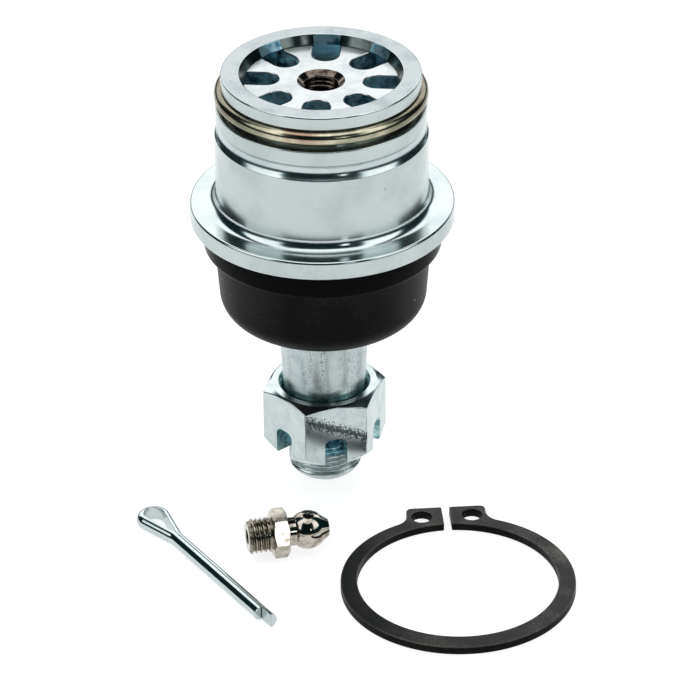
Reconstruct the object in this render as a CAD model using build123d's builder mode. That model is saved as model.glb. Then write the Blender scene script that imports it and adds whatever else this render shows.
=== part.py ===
"""Press-in suspension ball joint, standing on its stud, with its fitting kit laid beside it.

Millimetres. The origin is the centre of the ball. +Z runs along the housing's axis towards the
cover, and the stud points down. The loose pieces lie on the plane that the stud tip stands on.
"""
import os
from math import acos, asin, cos, degrees, radians, sin, sqrt, tan

from build123d import *

os.makedirs("parts", exist_ok=True)

# ------------------------------------------------------------------ sizes: fits
slip = 0.02            # gap drawn in a pressed or seated fit, per side
running = 0.06         # gap of a fit that turns or slides, per side
swing_gap = 0.4        # left between neck and throat at full tilt

# ------------------------------------------------------------------ sizes: ball stud
ball_r = 18.0
tilt_deg = 15.0        # tilt of the stud to each side
neck_r = 9.8
neck_end = 21.0        # below the ball centre, like all the stud's stations
land_r = 12.1
land_start = 33.0
taper_start = 50.0
taper_length = 16.4
taper_per_mm = 0.05    # radius lost for each millimetre of length
thread_r = 9.95
thread_runout = 1.5
stud_length = 95.0
tip_r = 4.9
tip_length = 4.2
cotter_hole_r = 2.2

# ------------------------------------------------------------------ sizes: housing
press_r = 57.15 / 2
press_above = 12.2     # press wall's top, above the ball centre
press_lead = 0.5
flange_drop = 8.7      # flange's upper face, below the ball centre
flange_t = 5.2
flange_r = 35.6
flange_edge = 0.5
root_fillet = 2.9
cove_h = 3.9
cove_depth = 0.95
shoulder_r = 28.2
shoulder_h = 4.0
ring_groove_h = 5.6
rim_r = 26.7
rim_h = 3.7
rim_edge = 0.45
lip_mouth_r = 21.8     # rolled lip's opening at the very top
lip_throat_r = 20.3    # and at the cover
lip_h = 2.6
bore_r = 21.4
floor_drop = 12.6      # ledge that carries the lower race
floor_lead = 0.8
skirt_r = 27.0
skirt_h = 4.7

# ------------------------------------------------------------------ sizes: cover
cover_r = 22.7
cover_t = 5.2
notch_count = 8
notch_w = 7.1
notch_root_r = 11.2
notch_phase_deg = 85.5
port_r = 4.75
port_mouth_r = 6.35
edge_break = 0.3

# ------------------------------------------------------------------ sizes: lock ring
lock_wire_r = 1.9
lock_ring_out = 28.5
lock_ring_rise = 3.35  # wire's centre above the groove's lower side
lock_ring_gap = 1.6

# ------------------------------------------------------------------ sizes: bearings and spring
spring_h = 2.8
spring_t = 1.0
spring_in_r = 9.0
spring_out_r = 19.0
seat_low = 1.5         # underside of the upper seat, above the ball centre
seat_port_r = 6.0
seat_edge = 0.8
oil_groove_count = 4
oil_groove_w = 2.4
oil_groove_depth = 0.8
race_top_drop = 1.5
race_edge = 0.6

# ------------------------------------------------------------------ sizes: boot and its two rings
clamp_t = 1.4
clamp_below = 1.8
clamp_foot_r = 24.6
band_r = 32.2
band_h = 7.5
band_round = 1.0
wall_top_r = 29.2
wall_low_r = 28.15
wall_drop = 36.0       # where the wall starts to turn in, below the ball centre
crease_h = 1.2
boot_wall = 1.9
bulge_w = 8.0
bulge_h = 7.4
boot_end = 47.0
boot_lip_w = 2.6
bush_wall = 1.2
bush_h = 4.2

# ------------------------------------------------------------------ sizes: castle nut
nut_across_flats = 30.0
nut_h = 18.6
nut_start = 65.8       # its upper face, below the ball centre
nut_corner_deg = 12.0
nut_top_face_r = 14.3
nut_top_slope_deg = 30.0
nut_end_face_r = 14.8
nut_end_slope_deg = 45.0
nut_sink_r = 12.7
nut_sink_h = 2.5
slot_w = 6.2
slot_h = 8.2
slot_round = 2.0

# ------------------------------------------------------------------ sizes: cotter pin
pin_r = 2.0
pin_leg_gap = 0.12
pin_long_leg = 46.6
pin_short_leg = 42.0
pin_eye_r = 2.8        # inside of the eye
pin_flare_deg = 13.5
pin_bend_r = 8.0
pin_x = -39.79         # where the legs meet
pin_y = -38.48
pin_heading_deg = -56.9

# ------------------------------------------------------------------ sizes: grease fitting
fitting_thread_r = 4.85
fitting_thread_l = 6.6
fitting_thread_lead = 0.8
fitting_relief_r = 4.3
fitting_relief_l = 0.7
hex_across_flats = 11.9
hex_l = 4.3
hex_slope_deg = 30.0
head_neck_r = 3.9
head_neck_l = 1.6
head_r = 5.3
head_centre = 16.6     # from the threaded end
fitting_l = 22.3
nose_r = 2.3
nose_cone_deg = 38.0
fitting_bore_r = 2.0
spring_stop_r = 1.45
spring_stop_at = 7.5
spring_stop_t = 1.0
inlet_r = 1.15
check_ball_r = 1.7
check_seat_deg = 45.0
check_wire_r = 0.2
check_turns = 6
check_stroke = 1.2
fitting_x = -20.99     # its threaded end
fitting_y = -43.14
fitting_heading_deg = 12.0

# ------------------------------------------------------------------ sizes: snap ring
snap_bore_r = 26.88
snap_width = 4.52      # radial width, half way round
snap_offset = 0.65     # outer edge's centre, away from the lugs
snap_t = 2.4
snap_lug_h = 3.9       # lugs' rise over the outer edge
snap_lug_half_deg = 15.8
snap_lug_round = 2.2
snap_web_round = 5.0
snap_gap = 2.1
snap_hole_r = 2.5
snap_hole_wall = 1.3   # left outside each plier hole
snap_hole_half_deg = 12.6
snap_x = 35.44
snap_y = -58.70
snap_heading_deg = 94.3   # where the gap is

# ------------------------------------------------------------------ places that follow from the sizes
floor_z = -stud_length
flange_top_z = -flange_drop
flange_low_z = flange_top_z - flange_t
skirt_low_z = flange_low_z - skirt_h
shoulder_low_z = press_above + cove_h
groove_low_z = shoulder_low_z + shoulder_h
groove_top_z = groove_low_z + ring_groove_h
rim_top_z = groove_top_z + rim_h
cover_top_z = rim_top_z - lip_h
cover_low_z = cover_top_z - cover_t
seat_top_z = cover_low_z - spring_h
floor_ledge_z = -floor_drop
socket_r = ball_r + running
groove_r = lock_ring_out - 2 * lock_wire_r - slip
taper_end = taper_start + taper_length
taper_end_r = land_r - taper_per_mm * taper_length
nut_end = nut_start + nut_h
nut_flat = nut_across_flats / 2
nut_corner = nut_flat / cos(radians(30))
cotter_z = -(nut_end - slot_h / 2)
slot_headings = [nut_corner_deg + 30 + 60 * i for i in range(3)]
cotter_heading_deg = nut_corner_deg - 90.0


def swing_reach(depth):
    """Reach of the neck's surface from the housing axis at full tilt, at a depth below the centre."""
    return depth * tan(radians(tilt_deg)) + neck_r / cos(radians(tilt_deg))


def at_heading(x, y, z, heading_deg):
    """Plane at a point, with its x along a heading over the floor and its normal up."""
    along = (cos(radians(heading_deg)), sin(radians(heading_deg)), 0)
    return Plane(origin=(x, y, z), x_dir=along, z_dir=(0, 0, 1))


throat_r = swing_reach(floor_drop) + swing_gap
mouth_r = swing_reach(-skirt_low_z) + swing_gap

# ================================================================== housing
root_r = press_r + root_fillet
root_z = flange_top_z + root_fillet
cove_bottom_r = shoulder_r - cove_depth
with BuildPart() as housing:
    with BuildSketch(Plane.XZ):
        with BuildLine():
            Polyline(
                (throat_r, floor_ledge_z),
                (mouth_r, skirt_low_z),
                (skirt_r, skirt_low_z),
                (skirt_r, flange_low_z),
                (flange_r - flange_edge, flange_low_z),
                (flange_r, flange_low_z + flange_edge),
                (flange_r, flange_top_z - flange_edge),
                (flange_r - flange_edge, flange_top_z),
                (root_r, flange_top_z),
            )
            RadiusArc((root_r, flange_top_z), (press_r, root_z), root_fillet)
            Polyline(
                (press_r, root_z),
                (press_r, press_above - press_lead),
                (press_r - press_lead, press_above),
            )
            ThreePointArc(
                (press_r - press_lead, press_above),
                (cove_bottom_r, press_above + cove_h / 2),
                (shoulder_r, shoulder_low_z),
            )
            Polyline(
                (shoulder_r, shoulder_low_z),
                (shoulder_r, groove_low_z - edge_break),
                (shoulder_r - edge_break, groove_low_z),
                (groove_r, groove_low_z),
                (groove_r, groove_top_z),
                (rim_r - edge_break, groove_top_z),
                (rim_r, groove_top_z + edge_break),
                (rim_r, rim_top_z - rim_edge),
                (rim_r - rim_edge, rim_top_z),
                (lip_mouth_r + edge_break, rim_top_z),
                (lip_mouth_r, rim_top_z - edge_break),
                (lip_throat_r, cover_top_z + slip),
                (cover_r + slip, cover_top_z + slip),
                (cover_r + slip, cover_low_z),
                (bore_r, cover_low_z),
                (bore_r, floor_ledge_z + floor_lead),
                (bore_r - floor_lead, floor_ledge_z),
                (throat_r, floor_ledge_z),
            )
        make_face()
    revolve(axis=Axis.Z)
housing.part.label = "housing"
export_step(housing.part, "parts/housing.step")

# ================================================================== cover plate
with BuildPart() as cover_plate:
    with BuildSketch(Plane.XY.offset(cover_low_z)):
        Circle(cover_r)
        with PolarLocations(notch_root_r + notch_w / 2, notch_count, start_angle=notch_phase_deg):
            Circle(notch_w / 2, mode=Mode.SUBTRACT)
            with Locations((cover_r / 2, 0)):
                Rectangle(cover_r, notch_w, mode=Mode.SUBTRACT)
        Circle(port_r, mode=Mode.SUBTRACT)
    extrude(amount=cover_t)
    port_mouth = cover_plate.edges().filter_by(GeomType.CIRCLE).filter_by(
        lambda e: abs(e.radius - port_r) < 1e-4
    )
    chamfer(port_mouth.sort_by(Axis.Z)[-1], port_mouth_r - port_r)
    chamfer(cover_plate.faces().sort_by(Axis.Z)[-1].outer_wire().edges(), edge_break)
cover_plate.part.label = "cover_plate"
export_step(cover_plate.part, "parts/cover_plate.step")

# ================================================================== lock ring in the upper groove
lock_ring_z = groove_low_z + lock_ring_rise
with BuildPart() as lock_ring:
    with BuildSketch(Plane.XZ):
        with Locations((lock_ring_out - lock_wire_r, lock_ring_z)):
            Circle(lock_wire_r)
    revolve(axis=Axis.Z)
    with Locations((0, lock_ring_out, lock_ring_z)):
        Box(lock_ring_gap, 6 * lock_wire_r, 4 * lock_wire_r, mode=Mode.SUBTRACT)
lock_ring.part.label = "lock_ring"
export_step(lock_ring.part, "parts/lock_ring.step")

# ================================================================== conical spring under the cover
with BuildPart() as preload_spring:
    with BuildSketch(Plane.XZ):
        with BuildLine():
            Polyline(
                (spring_in_r, cover_low_z - slip),
                (spring_in_r, cover_low_z - slip - spring_t),
                (spring_out_r, seat_top_z + running),
                (spring_out_r, seat_top_z + running + spring_t),
                (spring_in_r, cover_low_z - slip),
            )
        make_face()
    revolve(axis=Axis.Z)
preload_spring.part.label = "preload_spring"
export_step(preload_spring.part, "parts/preload_spring.step")

# ================================================================== upper seat, free to turn in the bore
seat_r = bore_r - running
seat_mid_z = (seat_low + seat_top_z) / 2
with BuildPart() as pressure_seat:
    with Locations((0, 0, seat_mid_z)):
        Cylinder(seat_r, seat_top_z - seat_low)
    outer_edges = pressure_seat.edges().filter_by(GeomType.CIRCLE)
    chamfer(outer_edges, seat_edge)
    Sphere(socket_r, mode=Mode.SUBTRACT)
    with Locations((0, 0, seat_top_z)):
        Cylinder(seat_port_r, 4 * (seat_top_z - seat_low), mode=Mode.SUBTRACT)
    with BuildSketch(Plane.XY.offset(seat_low)):
        with PolarLocations(socket_r / 2, oil_groove_count, start_angle=45):
            Rectangle(socket_r, oil_groove_w)
        Circle(sqrt((socket_r + oil_groove_depth) ** 2 - seat_low ** 2), mode=Mode.INTERSECT)
    extrude(amount=oil_groove_w, mode=Mode.SUBTRACT)
pressure_seat.part.label = "pressure_seat"
export_step(pressure_seat.part, "parts/pressure_seat.step")

# ================================================================== lower race, pressed on the ledge
race_top_z = -race_top_drop
race_mid_z = (race_top_z + floor_ledge_z + slip) / 2
race_h = race_top_z - floor_ledge_z - slip
with BuildPart() as lower_race:
    with Locations((0, 0, race_mid_z)):
        Cylinder(bore_r - slip, race_h)
    chamfer(lower_race.edges().filter_by(GeomType.CIRCLE).sort_by(Axis.Z)[-1], race_edge)
    chamfer(lower_race.edges().filter_by(GeomType.CIRCLE).sort_by(Axis.Z)[0], floor_lead)
    Sphere(socket_r, mode=Mode.SUBTRACT)
    with Locations((0, 0, race_mid_z)):
        Cylinder(throat_r, 2 * race_h, mode=Mode.SUBTRACT)
lower_race.part.label = "lower_race"
export_step(lower_race.part, "parts/lower_race.step")

# ================================================================== ball stud
neck_top = sqrt(ball_r ** 2 - neck_r ** 2)
thread_end = stud_length - tip_length
with BuildPart() as ball_stud:
    with BuildSketch(Plane.XZ):
        with BuildLine():
            CenterArc((0, 0), ball_r, 90, -90 - degrees(acos(neck_r / ball_r)))
            Line((neck_r, -neck_top), (neck_r, -neck_end))
            Spline((neck_r, -neck_end), (land_r, -land_start), tangents=((0, -1), (0, -1)))
            Polyline(
                (land_r, -land_start),
                (land_r, -taper_start),
                (taper_end_r, -taper_end),
                (thread_r, -taper_end - thread_runout),
                (thread_r, -thread_end),
            )
            Spline((thread_r, -thread_end), (tip_r, -stud_length), tangents=((-0.1, -1), (-1, -0.25)))
            Polyline((tip_r, -stud_length), (0, -stud_length), (0, ball_r))
        make_face()
    revolve(axis=Axis.Z)
    drill_plane = Plane(origin=(0, 0, cotter_z), z_dir=(
        cos(radians(cotter_heading_deg)), sin(radians(cotter_heading_deg)), 0))
    with BuildSketch(drill_plane):
        Circle(cotter_hole_r)
    extrude(amount=2 * thread_r, both=True, mode=Mode.SUBTRACT)
ball_stud.part.label = "ball_stud"
export_step(ball_stud.part, "parts/ball_stud.step")

# ================================================================== steel ring that holds the boot's wide end
clamp_in_r = skirt_r + slip
clamp_out_r = clamp_in_r + clamp_t
clamp_low_z = skirt_low_z - clamp_below
with BuildPart() as boot_clamp:
    with BuildSketch(Plane.XZ):
        with BuildLine():
            Polyline(
                (clamp_in_r, flange_low_z - slip),
                (clamp_out_r, flange_low_z - slip),
                (clamp_out_r, clamp_low_z),
                (clamp_foot_r, clamp_low_z),
                (clamp_foot_r, clamp_low_z + clamp_t),
                (clamp_in_r, clamp_low_z + clamp_t),
                (clamp_in_r, flange_low_z - slip),
            )
        make_face()
    revolve(axis=Axis.Z)
boot_clamp.part.label = "boot_clamp"
export_step(boot_clamp.part, "parts/boot_clamp.step")

# ================================================================== sliding bush in the boot's small end
bush_in_r = land_r + running
bush_out_r = bush_in_r + bush_wall
bush_mid_z = -(boot_end - bush_h / 2)
with BuildPart() as boot_bush:
    with Locations((0, 0, bush_mid_z)):
        Cylinder(bush_out_r, bush_h)
        Cylinder(bush_in_r, 2 * bush_h, mode=Mode.SUBTRACT)
    chamfer(boot_bush.edges().filter_by(GeomType.CIRCLE), bush_wall / 5)
boot_bush.part.label = "boot_bush"
export_step(boot_bush.part, "parts/boot_bush.step")

# ================================================================== rubber boot
band_low_z = flange_low_z - band_h
wall_top_z = band_low_z - crease_h
bulge_r = wall_low_r - bulge_w
boot_bore_r = clamp_out_r + slip
lip_in_r = bush_out_r + 0.3
lip_top_z = -(boot_end - bush_h) + boot_wall / 2
lip_out_r = lip_in_r + boot_lip_w
inner_low_r = wall_low_r - boot_wall
with BuildPart() as dust_boot:
    with BuildSketch(Plane.XZ):
        with BuildLine():
            Polyline(
                (boot_bore_r, flange_low_z - slip),
                (band_r, flange_low_z - slip),
                (band_r, band_low_z + band_round),
            )
            RadiusArc((band_r, band_low_z + band_round), (band_r - band_round, band_low_z), band_round)
            Polyline(
                (band_r - band_round, band_low_z),
                (wall_top_r, wall_top_z),
                (wall_low_r, -wall_drop),
            )
            EllipticalCenterArc((bulge_r, -wall_drop), bulge_w, bulge_h, 270, arc_size=90)
            Polyline(
                (bulge_r, -wall_drop - bulge_h),
                (lip_out_r, -boot_end + 1.6 * boot_wall),
                (lip_out_r - boot_wall / 2, -boot_end),
                (lip_in_r, -boot_end),
                (lip_in_r, lip_top_z),
                (bulge_r, -wall_drop - bulge_h + boot_wall),
            )
            EllipticalCenterArc(
                (bulge_r, -wall_drop), bulge_w - boot_wall, bulge_h - boot_wall, 270, arc_size=90
            )
            Polyline(
                (inner_low_r, -wall_drop),
                (wall_top_r - boot_wall, clamp_low_z - crease_h),
                (boot_bore_r, clamp_low_z),
                (boot_bore_r, flange_low_z - slip),
            )
        make_face()
    revolve(axis=Axis.Z)
dust_boot.part.label = "dust_boot"
export_step(dust_boot.part, "parts/dust_boot.step")

# ================================================================== castle nut
nut_far_r = 1.2 * nut_corner
top_drop = (nut_far_r - nut_top_face_r) * tan(radians(nut_top_slope_deg))
end_rise = (nut_far_r - nut_end_face_r) * tan(radians(nut_end_slope_deg))
with BuildPart() as castle_nut:
    with BuildSketch(Plane.XY.offset(-nut_end)):
        RegularPolygon(nut_corner, 6, rotation=nut_corner_deg)
    extrude(amount=nut_h)
    with BuildSketch(Plane.XZ):
        with BuildLine():
            Polyline(
                (0, -nut_end),
                (nut_end_face_r, -nut_end),
                (nut_far_r, -nut_end + end_rise),
                (nut_far_r, -nut_start - top_drop),
                (nut_top_face_r, -nut_start),
                (0, -nut_start),
                (0, -nut_end),
            )
        make_face()
    revolve(axis=Axis.Z, mode=Mode.INTERSECT)
    with Locations((0, 0, -nut_start - nut_h / 2)):
        Cylinder(thread_r + running, 2 * nut_h, mode=Mode.SUBTRACT)
    with BuildSketch(Plane.XZ):
        with BuildLine():
            Polyline(
                (0, -nut_start),
                (nut_sink_r, -nut_start),
                (thread_r + running, -nut_start - nut_sink_h),
                (0, -nut_start - nut_sink_h),
                (0, -nut_start),
            )
        make_face()
    revolve(axis=Axis.Z, mode=Mode.SUBTRACT)
    for heading in slot_headings:
        across = Plane(
            origin=(0, 0, -nut_end),
            x_dir=(-sin(radians(heading)), cos(radians(heading)), 0),
            z_dir=(cos(radians(heading)), sin(radians(heading)), 0),
        )
        with BuildSketch(across) as slot_shape:
            Rectangle(slot_w, 2 * slot_h)
            fillet(slot_shape.vertices(), slot_round)
        extrude(amount=nut_far_r, both=True, mode=Mode.SUBTRACT)
castle_nut.part.label = "castle_nut"
export_step(castle_nut.part, "parts/castle_nut.step")

# ================================================================== cotter pin
flare = radians(pin_flare_deg)
bend_x = -pin_bend_r * sin(flare)
bend_y = pin_leg_gap / 2 + pin_bend_r * (1 - cos(flare))
eye_x = bend_x + (bend_y * cos(flare) - pin_eye_r) / sin(flare)
touch_x = eye_x + pin_eye_r * sin(flare)
touch_y = pin_eye_r * cos(flare)
pin_plane = at_heading(pin_x, pin_y, floor_z + pin_r, pin_heading_deg)
with BuildPart() as cotter_pin:
    with BuildLine(pin_plane) as pin_path:
        Line((pin_short_leg, -pin_leg_gap / 2), (0, -pin_leg_gap / 2))
        JernArc((0, -pin_leg_gap / 2), (-1, 0), pin_bend_r, pin_flare_deg)
        Line((bend_x, -bend_y), (touch_x, -touch_y))
        CenterArc((eye_x, 0), pin_eye_r, -90 + pin_flare_deg, -180 - 2 * pin_flare_deg)
        Line((touch_x, touch_y), (bend_x, bend_y))
        JernArc((bend_x, bend_y), (cos(flare), -sin(flare)), pin_bend_r, pin_flare_deg)
        Line((0, pin_leg_gap / 2), (pin_long_leg, pin_leg_gap / 2))
    start = pin_plane.from_local_coords(Vector(pin_short_leg, -pin_leg_gap / 2, 0))
    side = pin_plane.y_dir
    with BuildSketch(Plane(origin=start, x_dir=side, z_dir=pin_plane.x_dir * -1)):
        Circle(pin_r)
        with Locations((pin_r, 0)):
            Rectangle(2 * pin_r, 4 * pin_r, mode=Mode.SUBTRACT)
    sweep(path=pin_path.line, transition=Transition.RIGHT)
cotter_pin.part.label = "cotter_pin"
export_step(cotter_pin.part, "parts/cotter_pin.step")

# ================================================================== grease fitting: body
fitting_axis = (cos(radians(fitting_heading_deg)), sin(radians(fitting_heading_deg)), 0)
fitting_side = (sin(radians(fitting_heading_deg)), -cos(radians(fitting_heading_deg)), 0)
fitting_z = floor_z + hex_across_flats / 2
fitting_plane = Plane(origin=(fitting_x, fitting_y, fitting_z), x_dir=fitting_side, z_dir=fitting_axis)
fitting_profile = Plane(origin=fitting_plane.origin, x_dir=fitting_side,
                        z_dir=fitting_plane.y_dir * -1)
hex_at = fitting_thread_l
hex_end = hex_at + hex_l
hex_corner = hex_across_flats / 2 / cos(radians(30))
head_start = head_centre - sqrt(head_r ** 2 - head_neck_r ** 2)
cone = radians(nose_cone_deg)
cone_r = head_r * cos(cone)
cone_at = head_centre + head_r * sin(cone)
check_seat = radians(check_seat_deg)
check_at = fitting_l - 1.0 - check_ball_r / sin(check_seat) + inlet_r / tan(check_seat)
with BuildPart() as fitting_body:
    with BuildSketch(fitting_profile):
        with BuildLine():
            Polyline(
                (0, 0),
                (fitting_thread_r - fitting_thread_lead, 0),
                (fitting_thread_r, fitting_thread_lead),
                (fitting_thread_r, hex_at - fitting_relief_l),
                (fitting_relief_r, hex_at - fitting_relief_l),
                (fitting_relief_r, hex_at),
                (head_neck_r, hex_at),
                (head_neck_r, head_start),
            )
            CenterArc(
                (0, head_centre), head_r,
                -degrees(acos(head_neck_r / head_r)),
                degrees(acos(head_neck_r / head_r)) + nose_cone_deg,
            )
            Polyline(
                (cone_r, cone_at),
                (nose_r, fitting_l),
                (0, fitting_l),
                (0, 0),
            )
        make_face()
    revolve(axis=Axis(fitting_plane.origin, fitting_plane.z_dir))
    with BuildSketch(fitting_plane.offset(hex_at)):
        RegularPolygon(hex_corner, 6)
    extrude(amount=hex_l)
    with BuildSketch(fitting_plane.offset(-1)):
        Circle(fitting_bore_r)
    extrude(amount=spring_stop_at + 1, mode=Mode.SUBTRACT)
    with BuildSketch(fitting_plane.offset(spring_stop_at / 2)):
        Circle(spring_stop_r)
    extrude(amount=spring_stop_at, mode=Mode.SUBTRACT)
    with BuildSketch(fitting_profile):
        with BuildLine():
            Polyline(
                (0, spring_stop_at + spring_stop_t),
                (fitting_bore_r, spring_stop_at + spring_stop_t),
                (fitting_bore_r, fitting_l - 1.0 - (fitting_bore_r - inlet_r) / tan(check_seat)),
                (inlet_r, fitting_l - 1.0),
                (inlet_r, fitting_l + 1.0),
                (0, fitting_l + 1.0),
                (0, spring_stop_at + spring_stop_t),
            )
        make_face()
    revolve(axis=Axis(fitting_plane.origin, fitting_plane.z_dir), mode=Mode.SUBTRACT)
fitting_body.part.label = "fitting_body"
export_step(fitting_body.part, "parts/fitting_body.step")

# ================================================================== grease fitting: check ball and its spring
ball_at = check_at - running
with BuildPart() as check_ball:
    with Locations(fitting_plane.offset(ball_at).location):
        Sphere(check_ball_r)
check_ball.part.label = "check_ball"
export_step(check_ball.part, "parts/check_ball.step")

coil_r = fitting_bore_r - running - check_wire_r
coil_low = spring_stop_at + spring_stop_t + slip + check_wire_r
coil_touch = ball_at - sqrt((check_ball_r + check_wire_r) ** 2 - coil_r ** 2) if (
    coil_r < check_ball_r + check_wire_r) else ball_at
coil_high = coil_touch - running
with BuildPart() as check_spring:
    with BuildLine():
        coil = Helix((coil_high - coil_low) / check_turns, coil_high - coil_low, coil_r)
    with BuildSketch(Plane(origin=coil @ 0, z_dir=coil % 0)):
        Circle(check_wire_r)
    sweep(is_frenet=True)
check_spring.part = check_spring.part.moved(fitting_plane.offset(coil_low).location)
check_spring.part.label = "check_spring"
export_step(check_spring.part, "parts/check_spring.step")

# ================================================================== snap ring
snap_plane = at_heading(snap_x, snap_y, floor_z, snap_heading_deg)
snap_out_r = snap_bore_r + snap_width
snap_lug_r = snap_out_r + snap_lug_h
snap_hole_at = snap_lug_r - snap_hole_wall - snap_hole_r
lug_reach = snap_lug_r * sin(radians(snap_lug_half_deg))
lug_side_end = snap_lug_r - snap_lug_round - slip
web_room = (lug_reach ** 2 + (lug_side_end + snap_offset) ** 2 - snap_out_r ** 2) / (
    2 * (snap_out_r - lug_reach))
with BuildPart() as snap_ring:
    with BuildSketch(snap_plane) as snap_shape:
        with Locations((-snap_offset, 0)):
            Circle(snap_out_r)
        with Locations(((snap_lug_r + snap_bore_r) / 2, 0)):
            Rectangle(snap_lug_r - snap_bore_r, 2 * lug_reach)
        lug_corners = snap_shape.vertices().filter_by(lambda v: abs(v.X - snap_lug_r) < 1e-4)
        fillet(lug_corners, snap_lug_round)
        web_corners = snap_shape.vertices().filter_by(
            lambda v: abs(abs(v.Y) - lug_reach) < 1e-4
            and v.X < snap_lug_r - snap_lug_round - 1e-4)
        fillet(web_corners, min(snap_web_round, web_room))
        Circle(snap_bore_r, mode=Mode.SUBTRACT)
        with Locations((snap_lug_r, 0)):
            Rectangle(snap_lug_r, snap_gap, mode=Mode.SUBTRACT)
        hole_half = radians(snap_hole_half_deg)
        with Locations(
            (snap_hole_at * cos(hole_half), snap_hole_at * sin(hole_half)),
            (snap_hole_at * cos(hole_half), -snap_hole_at * sin(hole_half)),
        ):
            Circle(snap_hole_r, mode=Mode.SUBTRACT)
    extrude(amount=snap_t)
snap_ring.part.label = "snap_ring"
export_step(snap_ring.part, "parts/snap_ring.step")
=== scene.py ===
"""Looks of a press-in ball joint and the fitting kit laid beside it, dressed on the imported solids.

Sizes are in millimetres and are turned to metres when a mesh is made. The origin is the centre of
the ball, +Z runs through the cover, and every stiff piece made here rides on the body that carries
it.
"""
import logging
from abc import ABC, abstractmethod
from dataclasses import dataclass, field
from enum import Enum
from math import acos, asin, atan2, ceil, cos, degrees, hypot, pi, radians, sin, sqrt, tan
from typing import Callable, Iterable, Sequence

import bmesh
import bpy
from mathutils import Matrix, Vector


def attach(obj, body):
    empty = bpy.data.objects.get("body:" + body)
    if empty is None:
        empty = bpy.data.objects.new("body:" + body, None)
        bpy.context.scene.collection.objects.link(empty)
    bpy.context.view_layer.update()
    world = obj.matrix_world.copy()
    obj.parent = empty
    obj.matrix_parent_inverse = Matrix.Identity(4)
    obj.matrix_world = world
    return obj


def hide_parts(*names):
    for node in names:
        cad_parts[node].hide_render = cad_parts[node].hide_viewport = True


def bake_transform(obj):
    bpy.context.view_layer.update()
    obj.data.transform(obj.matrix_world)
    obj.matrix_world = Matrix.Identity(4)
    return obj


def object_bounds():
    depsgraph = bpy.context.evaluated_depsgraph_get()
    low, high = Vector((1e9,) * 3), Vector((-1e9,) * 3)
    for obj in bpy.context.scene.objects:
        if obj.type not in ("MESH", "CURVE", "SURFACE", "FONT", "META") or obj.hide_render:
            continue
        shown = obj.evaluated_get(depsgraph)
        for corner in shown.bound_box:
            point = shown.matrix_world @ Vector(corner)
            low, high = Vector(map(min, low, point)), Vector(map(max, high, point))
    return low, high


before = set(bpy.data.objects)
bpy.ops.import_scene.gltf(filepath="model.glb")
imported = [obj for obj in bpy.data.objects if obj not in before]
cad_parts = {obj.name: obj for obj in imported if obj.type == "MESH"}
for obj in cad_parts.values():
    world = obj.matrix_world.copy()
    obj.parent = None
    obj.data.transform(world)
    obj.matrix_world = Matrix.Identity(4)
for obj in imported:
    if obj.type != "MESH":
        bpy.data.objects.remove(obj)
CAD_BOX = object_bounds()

LOG = logging.getLogger("ball_joint")

MM = 0.001
ROUND_SEGMENTS = 256      # facets round a turned piece
RIM_STEPS = 3             # facets across the rounding of a plate's rim
ROWS_PER_PITCH = 12       # rows of vertices along one pitch of a thread
MERGE_GAP = 0.004         # vertices nearer than this become one before edges are rounded
PAST = 1.0                # how far a cutter reaches past the piece

Point = tuple[float, float]
Reach = Callable[[float, float], float]


# ------------------------------------------------------------------ outlines
def arc_points(centre: Point, radius: float, start: float, end: float,
               step: float = 5.0) -> list[Point]:
    """Points along a circular arc.

    Args:
        centre: Middle of the circle.
        radius: Its radius.
        start: First angle in degrees.
        end: Last angle in degrees.
        step: Widest angle between two points, in degrees.

    Returns:
        The points, both ends included.
    """
    count = max(2, ceil(abs(end - start) / step))
    angles = [radians(start + (end - start) * i / count) for i in range(count + 1)]
    return [(centre[0] + radius * cos(a), centre[1] + radius * sin(a)) for a in angles]


def bend_points(start: Point, end: Point, leave: Point, arrive: Point,
                count: int = 14) -> list[Point]:
    """Points of a smooth curve that leaves and arrives along given directions.

    Args:
        start: First point.
        end: Last point.
        leave: Direction and strength at the first point.
        arrive: Direction and strength at the last point.
        count: Number of spans.

    Returns:
        The points, both ends included.
    """
    points = []
    for i in range(count + 1):
        t = i / count
        a, b = 2 * t**3 - 3 * t**2 + 1, -2 * t**3 + 3 * t**2
        c, d = t**3 - 2 * t**2 + t, t**3 - t**2
        points.append(tuple(
            a * start[k] + b * end[k] + c * leave[k] + d * arrive[k] for k in (0, 1)))
    return points


def hexagon(corner_r: float, heading: float, ease: float) -> list[Point]:
    """Outline of a hexagon with eased corners.

    Args:
        corner_r: Distance of a corner from the middle.
        heading: Angle of the first corner, in degrees.
        ease: Radius of the corners.

    Returns:
        The points.
    """
    line = Outline()
    for i in range(6):
        a = radians(heading + 60 * i)
        line.corner(corner_r * cos(a), corner_r * sin(a), ease)
    return line.points()


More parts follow.
